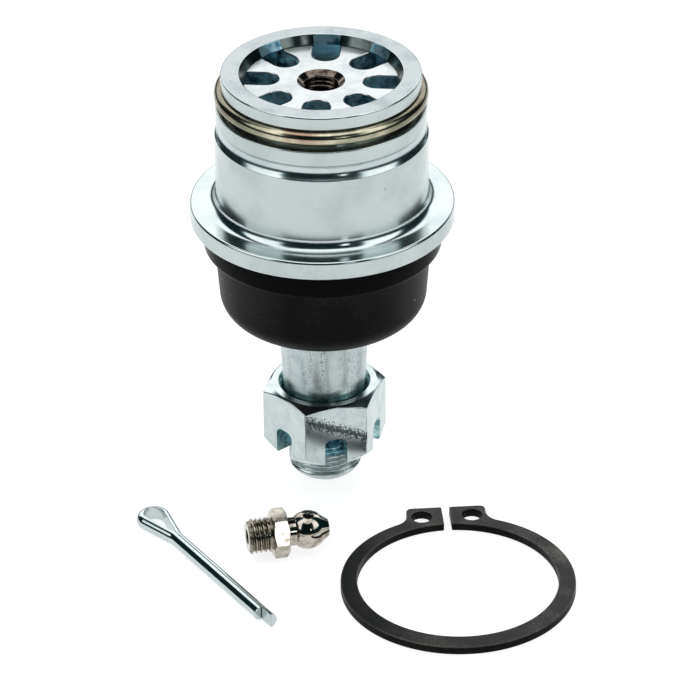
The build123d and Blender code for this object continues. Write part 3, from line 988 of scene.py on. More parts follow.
@dataclass(frozen=True)
class LitAcrylic(Finish):
    """White acrylic sheet with light from below, as on a product table.

    The eye gets an even pale floor with hardly any shadow.
    """

    colour: str = "#9FA1A3"
    haze: str = "#A3A5A7"
    haze_mm: float = 160.0
    roughness: float = 0.6
    sheen: float = 0.2
    lamp: str = "#FFFFFF"
    glow: float = 0.82

    def paint(self, tree: bpy.types.NodeTree, shader: bpy.types.Node) -> None:
        """Gives the sheet a trace of haze, a soft surface and its glow.

        Args:
            tree: The node tree.
            shader: The node that the finish feeds.
        """
        clouds = add(tree, "ShaderNodeTexNoise", {
            "Vector": self.place(tree, Lay.PLAIN), "Scale": per_metre(self.haze_mm)})
        tint = add(tree, "ShaderNodeMix", {
            0: clouds.outputs[0], 6: linear(self.colour), 7: linear(self.haze)}, data_type="RGBA")
        tree.links.new(tint.outputs[2], shader.inputs["Base Color"])
        shader.inputs["Roughness"].default_value = self.roughness
        shader.inputs["Specular IOR Level"].default_value = self.sheen
        shader.inputs["Emission Color"].default_value = linear(self.lamp)
        shader.inputs["Emission Strength"].default_value = self.glow


# Turned on a lathe before plating: clear, nearly mirror-like bands round the axis.
CLEAR_ZINC = PlatedSteel("clear_zinc_turned_steel", cloud_mm=14.0)
# Ground after turning: the softer and slightly darker lands that carry a fit.
GROUND_ZINC = PlatedSteel("clear_zinc_ground_steel", cloud_mm=14.0, roughness=0.2, mark_mm=0.6,
                          colour="#BAC3C2", cloud="#B1BAB9")
# Rolled over the cover: a dull inner wall, darkened with painted shade.
LIP_SHADE_ZINC = PlatedSteel("clear_zinc_lip_painted_shade", colour="#6C7472", cloud="#323A39", cloud_mm=5.0,
                       roughness=0.2)
# Faced after the rolling: a soft grey ring with faint clouds on top of the rim.
RIM_ZINC = PlatedSteel("clear_zinc_faced_rim", colour="#A5ACAE", cloud="#969EA1", cloud_mm=7.0,
                       roughness=0.2)
# Drawn bar: grainy grey streaks along the stud.
ZINC_STUD = PlatedSteel("clear_zinc_drawn_steel", colour="#BAC4C4", cloud="#A6B1B3",
                        lay=Lay.DRAWN, roughness=0.27, mark_mm=1.3, mark_depth_mm=0.004,
                        streak_mm=3.6, streak_share=0.6)
# Pressed plate: pale and even, with a soft mottle.
ZINC_PRESSED = PlatedSteel("clear_zinc_pressed_steel", lay=Lay.PLAIN, roughness=0.24, mark_mm=0.8,
                           mark_depth_mm=0.004, colour="#C1C5C6", cloud="#B0B7B9")
# Forged bar: bright flats that wave a little, and a painted dark reflection on the front flat.
ZINC_NUT = DarkReflectionSteel("clear_zinc_forged_steel", lay=Lay.PLAIN, roughness=0.14, cloud_mm=5.0,
                        mark_mm=1.2, mark_depth_mm=0.006)
# Slots and bores, with painted teal shade: teal clouds on a pale metal.
TEAL_SHADE_ZINC = PlatedSteel("zinc_painted_teal_shade_bore", lay=Lay.PLAIN, colour="#B4D2D2",
                        cloud="#4C8089", roughness=0.17, cloud_mm=2.6, mark_mm=1.4,
                        mark_depth_mm=0.008, metal_share=0.8)
# Drawn wire: bright, with long soft highlights.
ZINC_WIRE = PlatedSteel("clear_zinc_drawn_wire", lay=Lay.PLAIN, roughness=0.12, cloud_mm=6.0,
                        mark_mm=2.0, mark_depth_mm=0.004)
# Thread inside the nut and its slots, with painted blue shade: blue and silver flanks.
THREAD_SHADE_ZINC = PlatedSteel("zinc_thread_painted_blue_shade", colour="#B9DEE4", cloud="#4F8EA4",
                          roughness=0.16, cloud_mm=2.5, metal_share=0.75)
# Recesses, with painted shade: deep blue and pale blue patches.
BLUE_SHADE_ZINC = PlatedSteel("zinc_recess_painted_blue_shade", lay=Lay.PLAIN, colour="#A9D3DF",
                        cloud="#2E5F78", roughness=0.17, cloud_mm=2.6, mark_mm=1.4,
                        mark_depth_mm=0.01, pit_share=0.5, metal_share=0.7)
# Tapped after plating, so without zinc: brown, oily steel.
PORT_STEEL = PlatedSteel("zinc_free_tapped_steel", colour="#766A61", cloud="#2E2723",
                         roughness=0.15, cloud_mm=1.8)
# Nickel over turned brass: warm, with sharp and dark reflections.
NICKEL = PlatedSteel("bright_nickel_turned_brass", lay=Lay.PLAIN, colour="#BDB7AD",
                     cloud="#857E72", roughness=0.09, cloud_mm=2.4, mark_mm=0.9,
                     mark_depth_mm=0.008)
# The same nickel with painted shade between the threads and in the bore: dim and brown.
NICKEL_ROOT_SHADE = PlatedSteel("nickel_painted_crevice_shade", lay=Lay.PLAIN, colour="#8A8478",
                          cloud="#4C473F", roughness=0.25, cloud_mm=1.5)
# Bare hardened steel: plain blue-grey.
SPRING_STEEL = PlatedSteel("bare_spring_steel", colour="#7C8488", cloud="#5A666B", roughness=0.28)
# Yellow chromate over zinc, with painted shade on the ring's two sides.
GOLD_RING = YellowZinc("yellow_zinc_spring_steel")
# Where the mould was polished: a glossy band with hardly any bloom.
BAND_RUBBER = MouldedRubber("moulded_rubber_glossy_band", roughness=0.2, sheen=0.03,
                            bloom_share=0.05, dust_apart_mm=9.0)
# Where the mould was plain: a satin wall with its bloom.
WALL_RUBBER = MouldedRubber("moulded_rubber_satin_wall")
# The stamped faces.
BLACK_STEEL = Phosphate("black_phosphate_spring_steel")
# Rims: a paler, glossier line round every edge.
PALE_EDGE_STEEL = Phosphate("black_phosphate_pale_edge", colour="#3E3E3C", crystal="#8A867E",
                       roughness=0.3)
# Walls torn by the punch: rough, and darker than the faces.
SHEARED_STEEL = Phosphate("black_phosphate_sheared_wall", colour="#080808", crystal="#2A2826",
                          roughness=0.5, metal_share=0.1, sheen=0.06)
IRON = SinteredIron("sintered_iron")
FLOOR = LitAcrylic("lit_white_acrylic")


def dress(obj: bpy.types.Object, *finishes: Finish) -> bpy.types.Object:
    """Gives an object its finishes.

    Args:
        obj: The object.
        finishes: The finishes, in the order of the object's material indices.

    Returns:
        The object.
    """
    indices = [p.material_index for p in obj.data.polygons]
    obj.data.materials.clear()
    for finish in finishes:
        obj.data.materials.append(finish.material())
    obj.data.polygons.foreach_set("material_index", [min(i, len(finishes) - 1) for i in indices])
    return obj


# ------------------------------------------------------------------ sub-assemblies
@dataclass(frozen=True)
class Bend:
    """How a soft piece passes from its own body to another, between two points."""

    other: str
    start: tuple[float, float, float]
    end: tuple[float, float, float]


@dataclass
class SubAssembly(ABC):
    """A group of pieces that is built and dressed together and set on the frame."""

    @abstractmethod
    def build(self) -> None:
        """Builds the group's pieces and sets each on its body."""

    def seat(self, obj: bpy.types.Object, body: str, node: str, slot: str,
             bend: Bend | None = None) -> None:
        """Turns a piece to metres, sets it on its body unless it is soft, and hides its solid.

        Args:
            obj: The piece, already in place.
            body: Body that carries it.
            node: Solid that it stands for.
            slot: Not used.
            bend: Given for a soft piece, which then stays where it is without a body.
        """
        obj.data.transform(Matrix.Scale(MM, 4))
        if bend is None:
            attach(obj, body)
        else:
            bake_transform(obj)
        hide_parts(node)
        LOG.info("%-18s on %-9s %6d faces", obj.name, body, len(obj.data.polygons))


@dataclass
class PressedHousing(SubAssembly):
    """The turned housing, its notched cover and the ring in its groove."""

    press_r: float = 28.575
    press_top: float = 12.2
    press_lead: float = 0.5
    flange_top: float = -8.7
    flange_t: float = 5.2
    flange_r: float = 35.6
    root_fillet: float = 2.9
    cove_h: float = 3.9
    cove_depth: float = 0.95
    shoulder_r: float = 28.2
    shoulder_h: float = 4.0
    groove_h: float = 5.6
    groove_r: float = 24.68
    rim_r: float = 26.7
    rim_h: float = 3.7
    lip_mouth_r: float = 21.8
    lip_throat_r: float = 20.3
    lip_h: float = 2.6
    bore_r: float = 21.4
    ledge: float = -12.6
    throat_r: float = 13.92
    mouth_r: float = 15.53
    skirt_r: float = 27.0
    skirt_h: float = 4.7
    cover_r: float = 22.7
    cover_t: float = 5.2
    notches: int = 8
    notch_w: float = 7.1
    notch_root: float = 11.2
    notch_phase: float = 85.5
    notch_edge: float = 0.5
    cover_play: float = 0.02
    port_r: float = 4.75
    port_mouth: float = 6.35
    port_pitch: float = 1.27
    port_depth: float = 0.6
    ring_out: float = 28.5
    ring_wire_r: float = 1.9
    ring_rise: float = 3.35
    ring_gap: float = 1.6
    ease: float = 0.3
    flange_low_ease: float = 0.5
    flange_top_ease: float = 0.8
    cove_ease: float = 0.12
    rim_ease: float = 0.5
    lip_mouth_ease: float = 0.45
    lip_throat_ease: float = 0.15
    ledge_ease: float = 0.8

    @property
    def root_top(self) -> float:
        """Height at which the root fillet runs into the press wall."""
        return self.flange_top + self.root_fillet

    @property
    def shoulder_low(self) -> float:
        """Height of the shoulder's lower edge."""
        return self.press_top + self.cove_h

    @property
    def groove_low(self) -> float:
        """Height of the groove's floor side."""
        return self.shoulder_low + self.shoulder_h

    @property
    def rim_top(self) -> float:
        """Height of the rim's upper face."""
        return self.groove_low + self.groove_h + self.rim_h

    @property
    def cover_top(self) -> float:
        """Height of the cover's upper face."""
        return self.rim_top - self.lip_h

    def outline(self) -> list[Point]:
        """Draws half the housing's section, from the throat out and up round to the bore.

        Returns:
            The outline's points.
        """
        ease = self.ease
        flange_low = self.flange_top - self.flange_t
        line = Outline()
        line.corner(self.throat_r, self.ledge, ease)
        line.corner(self.mouth_r, flange_low - self.skirt_h, ease)
        line.corner(self.skirt_r, flange_low - self.skirt_h, ease)
        line.corner(self.skirt_r, flange_low)
        line.corner(self.flange_r, flange_low, self.flange_low_ease)
        line.corner(self.flange_r, self.flange_top, self.flange_top_ease)
        line.along(arc_points((self.press_r + self.root_fillet, self.root_top), self.root_fillet,
                              270, 180, 3))
        line.corner(self.press_r, self.press_top - self.press_lead, ease)
        line.corner(self.press_r - self.press_lead, self.press_top, self.cove_ease)
        line.along(self._cove()[1:-1])
        line.corner(self.shoulder_r, self.shoulder_low, self.cove_ease)
        line.corner(self.shoulder_r, self.groove_low, ease)
        line.corner(self.groove_r, self.groove_low)
        line.corner(self.groove_r, self.groove_low + self.groove_h)
        line.corner(self.rim_r, self.groove_low + self.groove_h, ease)
        line.corner(self.rim_r, self.rim_top, self.rim_ease)
        line.corner(self.lip_mouth_r, self.rim_top, self.lip_mouth_ease)
        line.corner(self.lip_throat_r, self.cover_top + self.cover_play, self.lip_throat_ease)
        line.corner(self.cover_r, self.cover_top + self.cover_play)
        line.corner(self.cover_r, self.cover_top - self.cover_t)
        line.corner(self.bore_r, self.cover_top - self.cover_t)
        line.corner(self.bore_r, self.ledge, self.ledge_ease)
        return line.points()

    def _cove(self) -> list[Point]:
        """Draws the round groove between the press wall and the shoulder.

        Returns:
            The points of an arc through both edges and the groove's floor.
        """
        low = Vector((self.press_r - self.press_lead, self.press_top))
        high = Vector((self.shoulder_r, self.shoulder_low))
        half = (high - low).length / 2
        deep = (low.x + high.x) / 2 - (self.shoulder_r - self.cove_depth)
        radius = (half**2 + deep**2) / (2 * deep)
        centre = ((low.x + high.x) / 2 + radius - deep, (low.y + high.y) / 2)
        spread = degrees(asin(half / radius))
        return arc_points(centre, radius, 180 + spread, 180 - spread, 6)

    def housing(self) -> bpy.types.Object:
        """Turns the body and gives each of its zones a finish.

        Returns:
            The piece.
        """
        finishes = (CLEAR_ZINC, LIP_SHADE_ZINC, BLUE_SHADE_ZINC, GROUND_ZINC, RIM_ZINC)
        order = {finish.name: i for i, finish in enumerate(finishes)}
        obj = make_object("housing_turned", revolve(self.outline()))
        shade(obj)
        for face in obj.data.polygons:
            face.material_index = order[self._finish_at(*face.center).name]
        return dress(obj, *finishes)

    def _finish_at(self, x: float, y: float, z: float) -> Finish:
        """Picks the finish of a spot on the housing.

        Args:
            x: Distance to the right of the axis.
            y: Distance behind it.
            z: Height.

        Returns:
            The finish of the rim, of the lip with its painted shade, of the lip's painted blue shade
            over a rear notch, of a ground land, or of everything else.
        """
        reach = hypot(x, y)
        if z > self.rim_top - 0.02:
            return RIM_ZINC
        # The lip's inner wall gets painted shade, and over a rear notch a painted blue shade.
        if reach < self.lip_mouth_r and z > self.cover_top - self.cover_t:
            pitch = 360 / self.notches
            off = (degrees(atan2(y, x)) - self.notch_phase + pitch / 2) % pitch - pitch / 2
            over_notch = abs(off) < degrees(asin(self.notch_w / 2 / reach))
            return BLUE_SHADE_ZINC if over_notch and y > 0.3 * reach else LIP_SHADE_ZINC
        lands = ((self.flange_r, self.flange_top - self.flange_t, self.flange_top),
                 (self.press_r, self.root_top, self.press_top),
                 (self.shoulder_r, self.shoulder_low, self.groove_low),
                 (self.rim_r, self.groove_low + self.groove_h, self.rim_top))
        on_land = any(abs(reach - r) < 0.05 and low < z < high for r, low, high in lands)
        return GROUND_ZINC if on_land else CLEAR_ZINC

    def cover(self) -> bpy.types.Object:
        """Stamps the notched plate and taps its port.

        Returns:
            The piece.
        """
        low, high = self.cover_top - self.cover_t, self.cover_top
        outline = Outline()
        half = self.notch_w / 2
        side = degrees(asin(half / self.cover_r))
        pitch = 360 / self.notches
        for i in range(self.notches):
            heading = radians(self.notch_phase + i * pitch)
            along, across = (cos(heading), sin(heading)), (-sin(heading), cos(heading))
            root = arc_points((self.notch_root + half, 0), half, 270, 90, 7.5)
            outline.along((u * along[0] + v * across[0], u * along[1] + v * across[1])
                          for u, v in root)
            start = self.notch_phase + i * pitch + side
            outline.along(arc_points((0, 0), self.cover_r, start, start + pitch - 2 * side, 3))
        # The walls, the notches' included, take index 1, the painted blue recess shade.
        obj = make_object("cover_notched", prism(outline.points(), low, high, self.notch_edge,
                                                 wall_index=1))
        thread = Thread(self.port_pitch, self.port_depth, low - PAST, high - 1.3, fade=0.1)
        tap = [(0, low - PAST)]
        tap += [(self.port_r, z) for z in thread.heights()]
        tap += [(self.port_r + 0.15, high - 1.25), (self.port_mouth, high - 0.05),
                (self.port_mouth + 0.25, high + 0.02), (self.port_mouth + 0.25, high + PAST),
                (0, high + PAST)]
        cutter = make_object("tap", revolve(tap, closed=False, segments=96,
                                            reach=lambda z, t: -thread.cut(z, t)))
        for face in cutter.data.polygons:
            face.material_index = 0 if face.center.z > high - 0.2 else 2
        for piece in (obj, cutter):
            dress(piece, ZINC_PRESSED, BLUE_SHADE_ZINC, PORT_STEEL)
        cut_with(obj, [cutter])
        return shade(obj, 35)

    def lock_ring(self) -> bpy.types.Object:
        """Bends the sprung ring of round wire, open at the back.

        Returns:
            The piece.
        """
        centre = (self.ring_out - self.ring_wire_r, self.groove_low + self.ring_rise)
        section = arc_points(centre, self.ring_wire_r, 0, 360, 7.5)[:-1]
        half = degrees(self.ring_gap / 2 / self.ring_out)
        bm = sweep_round(section, 90 + half, 450 - half, ROUND_SEGMENTS)
        obj = shade(make_object("lock_ring_sprung", bm))
        return dress(obj, GOLD_RING)

    def build(self) -> None:
        """Builds the three pieces."""
        self.seat(self.housing(), "housing", "housing", "zinc_steel")
        self.seat(self.cover(), "housing", "cover_plate", "zinc_steel")
        self.seat(self.lock_ring(), "housing", "lock_ring", "yellow_zinc")


@dataclass
class BallStud(SubAssembly):
    """The stud with its taper, rolled thread and cotter hole."""

    ball_r: float = 18.0
    neck_r: float = 9.8
    neck_end: float = -21.0
    neck_pull: Point = (0.0, -12.0)
    land_r: float = 12.1
    land_start: float = -33.0
    taper_start: float = -50.0
    taper_end: float = -66.4
    taper_end_r: float = 11.28
    taper_ease: float = 0.25
    thread_r: float = 9.95
    runout: float = 1.5
    thread_end: float = -90.8
    tip_r: float = 4.9
    tip: float = -95.0
    tip_leave: Point = (-0.3, -4.2)
    tip_arrive: Point = (-6.5, -1.4)
    hole_r: float = 2.2
    hole_z: float = -80.3
    drill_l: float = 30.0
    covered_to: float = -84.4
    hole_heading: float = -78.0
    thread: Thread = field(default_factory=lambda: Thread(1.5, 0.86, -68.2, -91.2, fade=1.2))

    def outline(self) -> list[Point]:
        """Draws half the stud's section, from the top of the ball to its tip.

        Returns:
            The outline's points.
        """
        waist = -degrees(acos(self.neck_r / self.ball_r))
        line = Outline()
        line.along(arc_points((0, 0), self.ball_r, 90, waist, 3))
        line.corner(self.neck_r, self.neck_end)
        line.along(bend_points((self.neck_r, self.neck_end), (self.land_r, self.land_start),
                               self.neck_pull, self.neck_pull)[1:])
        line.corner(self.land_r, self.taper_start)
        line.corner(self.taper_end_r, self.taper_end, self.taper_ease)
        line.corner(self.thread_r, self.taper_end - self.runout)
        line.along((self.thread_r, z) for z in self.thread.heights() if z > self.thread_end)
        line.along(bend_points((self.thread_r, self.thread_end), (self.tip_r, self.tip),
                               self.tip_leave, self.tip_arrive))
        line.corner(0, self.tip)
        points = line.points(closed=False)
        return [(0.0, self.ball_r)] + points[1:]

    def build(self) -> None:
        """Turns the stud, cuts its thread and drills it."""
        obj = make_object("stud_threaded", revolve(self.outline(), closed=False, segments=192,
                                                   reach=self.thread.cut))
        far = self.drill_l / 2
        drill = revolve([(0, -far), (self.hole_r, -far), (self.hole_r, far), (0, far)],
                        closed=False, segments=48)
        turned = (Matrix.Translation((0, 0, self.hole_z))
                  @ Matrix.Rotation(radians(self.hole_heading), 4, "Z")
                  @ Matrix.Rotation(radians(90), 4, "Y"))
        # The cotter hole's wall takes index 1, the painted blue recess shade.
        cutter = make_object("drill", drill, turned, index=1)
        # The thread inside the nut and its slots takes index 2, the painted blue shade there.
        for face in obj.data.polygons:
            if self.covered_to < face.center.z < self.taper_end - self.runout:
                face.material_index = 2
        for piece in (obj, cutter):
            dress(piece, ZINC_STUD, BLUE_SHADE_ZINC, THREAD_SHADE_ZINC)
        cut_with(obj, [cutter])
        shade(obj, 40, weighted=False)
        self.seat(obj, "stud", "ball_stud", "zinc_steel")


@dataclass
class RubberBoot(SubAssembly):
    """The moulded boot, between the seat and the bush on the stud."""

    band_r: float = 32.2
    band_top: float = -13.92
    band_low: float = -21.4
    band_round: float = 1.0
    bore_r: float = 28.44
    wall_top_r: float = 29.2
    wall_top: float = -22.6
    wall_low_r: float = 28.15
    wall_low: float = -36.0
    bulge_w: float = 8.0
    bulge_h: float = 7.4
    wall: float = 1.9
    lip_in_r: float = 13.66
    lip_w: float = 2.6
    end: float = -47.0
    bush_h: float = 4.2
    top_ease: float = 0.4
    crease_ease: float = 0.5
    lip_ease: float = 0.8
    end_ease: float = 0.5
    mouth_ease: float = 0.3

    def outline(self) -> list[Point]:
        """Draws half the boot's section, from the band down the outside and back up inside.

        Returns:
            The outline's points.
        """
        bulge_r = self.wall_low_r - self.bulge_w
        lip_r = self.lip_in_r + self.lip_w
        line = Outline()
        line.corner(self.bore_r, self.band_top)
        line.corner(self.band_r, self.band_top, self.top_ease)
        line.corner(self.band_r, self.band_low, self.band_round)
        line.corner(self.wall_top_r, self.wall_top, self.crease_ease)
        line.along(self._quarter(bulge_r, self.bulge_w, self.bulge_h))
        line.corner(lip_r, self.end + 1.6 * self.wall, self.lip_ease)
        line.corner(lip_r - self.wall / 2, self.end, self.end_ease)
        line.corner(self.lip_in_r, self.end, self.mouth_ease)
        line.corner(self.lip_in_r, self.end + self.bush_h + self.wall / 2)
        inner = self._quarter(bulge_r, self.bulge_w - self.wall, self.bulge_h - self.wall)
        line.along(reversed(inner))
        line.corner(self.wall_top_r - self.wall, self.band_low - 0.2)
        return line.points()

    def _quarter(self, middle_r: float, width: float, height: float) -> list[Point]:
        """Draws a quarter of an ellipse from the wall inward to the underside.

        Args:
            middle_r: Radius at which the ellipse has its middle.
            width: Its half width.
            height: Its half height.

        Returns:
            The points.
        """
        angles = [radians(-90 * i / 16) for i in range(17)]
        return [(middle_r + width * cos(a), self.wall_low + height * sin(a)) for a in angles]

    def build(self) -> None:
        """Turns the boot and splits its finish at the crease."""
        obj = make_object("boot_rubber", revolve(self.outline()))
        shade(obj, 50, weighted=False)
        for face in obj.data.polygons:
            if face.center.z < self.wall_top + 0.3:
                face.material_index = 1
        dress(obj, BAND_RUBBER, WALL_RUBBER)
        bend = Bend("boot_end", (0, 0, self.wall_top - 1), (0, 0, self.end + self.bush_h))
        self.seat(obj, "seat", "dust_boot", "boot_rubber", bend)


@dataclass
class CastleNut(SubAssembly):
    """The hexagon nut with six slots in its lower end."""

    across_flats: float = 30.0
    top: float = -65.8
    height: float = 18.6
    corner_heading: float = 12.0
    top_face_r: float = 14.3
    top_slope: float = 30.0
    end_face_r: float = 14.8
    end_slope: float = 45.0
    sink_r: float = 12.7
    sink_h: float = 2.5
    bore_r: float = 10.01
    pitch: float = 1.5
    depth: float = 0.7
    slot_w: float = 6.2
    slot_h: float = 8.2
    slot_round: float = 2.0
    corner_ease: float = 0.5
    edge: float = 0.22

    def build(self) -> None:
        """Forges the hexagon, turns its ends, mills the slots and taps it."""
        end = self.top - self.height
        corner_r = self.across_flats / 2 / cos(radians(30))
        far = 1.2 * corner_r
        bar = hexagon(corner_r, self.corner_heading, self.corner_ease)
        obj = make_object("nut_castellated", prism(bar, end, self.top))
        rise = (far - self.end_face_r) * tan(radians(self.end_slope))
        drop = (far - self.top_face_r) * tan(radians(self.top_slope))
        ends = [(0, end), (self.end_face_r, end), (far, end + rise), (far, self.top - drop),
                (self.top_face_r, self.top), (0, self.top)]
        blank = make_object("turning", revolve(ends, closed=False, segments=192))
        for piece in (obj, blank):
            dress(piece, ZINC_NUT, TEAL_SHADE_ZINC)
        cut_with(obj, [blank], "INTERSECT")
        break_edges(obj, self.edge)
        thread = Thread(self.pitch, self.depth, end - PAST, self.top - self.sink_h - 0.3, fade=0.4)
        bore = [(0.0, end - PAST)] + [(self.bore_r, z) for z in thread.heights()]
        bore += [(self.bore_r, self.top - self.sink_h), (self.sink_r + 0.4, self.top + 0.4),
                 (self.sink_r + 0.4, self.top + 2), (0, self.top + 2)]
        # The bore, countersink and slots take index 1, the painted teal shade.
        tools = [make_object("bore", revolve(bore, closed=False, segments=128,
                                             reach=lambda z, t: -thread.cut(z, t)), index=1)]
        for i in range(3):
            mill = box_mesh(2.5 * corner_r, self.slot_w, 2 * self.slot_h, self.slot_round)
            heading = radians(self.corner_heading + 30 + 60 * i)
            tools.append(make_object("mill", mill, Matrix.Translation((0, 0, end))
                                     @ Matrix.Rotation(heading, 4, "Z"), index=1))
        for tool in tools:
            dress(tool, ZINC_NUT, TEAL_SHADE_ZINC)
        cut_with(obj, tools)
        shade(obj, 28)
        self.seat(obj, "nut", "castle_nut", "zinc_steel")


@dataclass
class CotterPin(SubAssembly):
    """The split pin, bent from half-round wire."""

    radius: float = 2.0
    leg_gap: float = 0.12
    long_leg: float = 46.6
    short_leg: float = 42.0
    eye_r: float = 2.8
    flare: float = 13.5
    bend_r: float = 8.0
    flat_ease: float = 0.25
    end_ease: float = 0.2
    start: tuple[float, float, float] = (-39.79, -38.48, -93.0)
    heading: float = -56.9

    def route(self) -> list[Point]:
        """Draws the wire's flat side, from the short leg's end round the eye to the long leg's.

        Returns:
            The line's points.
        """
        flare, half = radians(self.flare), self.leg_gap / 2
        bend_x = -self.bend_r * sin(flare)
        bend_y = half + self.bend_r * (1 - cos(flare))
        eye_x = bend_x + (bend_y * cos(flare) - self.eye_r) / sin(flare)
        near = [(self.short_leg * (1 - i / 12), -half) for i in range(12)]
        near += arc_points((0, -half - self.bend_r), self.bend_r, 90, 90 + self.flare, 3)
        eye = arc_points((eye_x, 0), self.eye_r, -90 + self.flare, -270 - self.flare, 7.5)
        far = arc_points((0, half + self.bend_r), self.bend_r, 270 - self.flare, 270, 3)
        far += [(self.long_leg * i / 12, half) for i in range(1, 13)]
        return near + eye + far

    def build(self) -> None:
        """Bends the wire and trims its ends."""
        route = self.route()
        r = self.radius
        section = Outline().corner(0, -r, self.flat_ease)
        section.along(arc_points((0, 0), r, -80, 80, 8)).corner(0, r, self.flat_ease)
        points = section.points()
        bm = bmesh.new()
        rings = []
        for i, here in enumerate(route):
            before, after = route[max(i - 1, 0)], route[min(i + 1, len(route) - 1)]
            go = Vector((after[0] - before[0], after[1] - before[1])).normalized()
            side = Vector((-go.y, go.x))
            rings.append([bm.verts.new((here[0] + side.x * s, here[1] + side.y * s, h))
                          for s, h in points])
        close_rings(bm, rings)
        ends = [f for f in bm.faces if len(f.verts) > 4]
        bmesh.ops.bevel(bm, geom=[e for f in ends for e in f.edges], offset=self.end_ease,
                        segments=2, profile=0.5, affect="EDGES", clamp_overlap=False)
        place = Matrix.Translation(self.start) @ Matrix.Rotation(radians(self.heading), 4, "Z")
        obj = shade(make_object("cotter_pin_split", bm, place))
        dress(obj, ZINC_WIRE)
        self.seat(obj, "cotter", "cotter_pin", "zinc_steel")


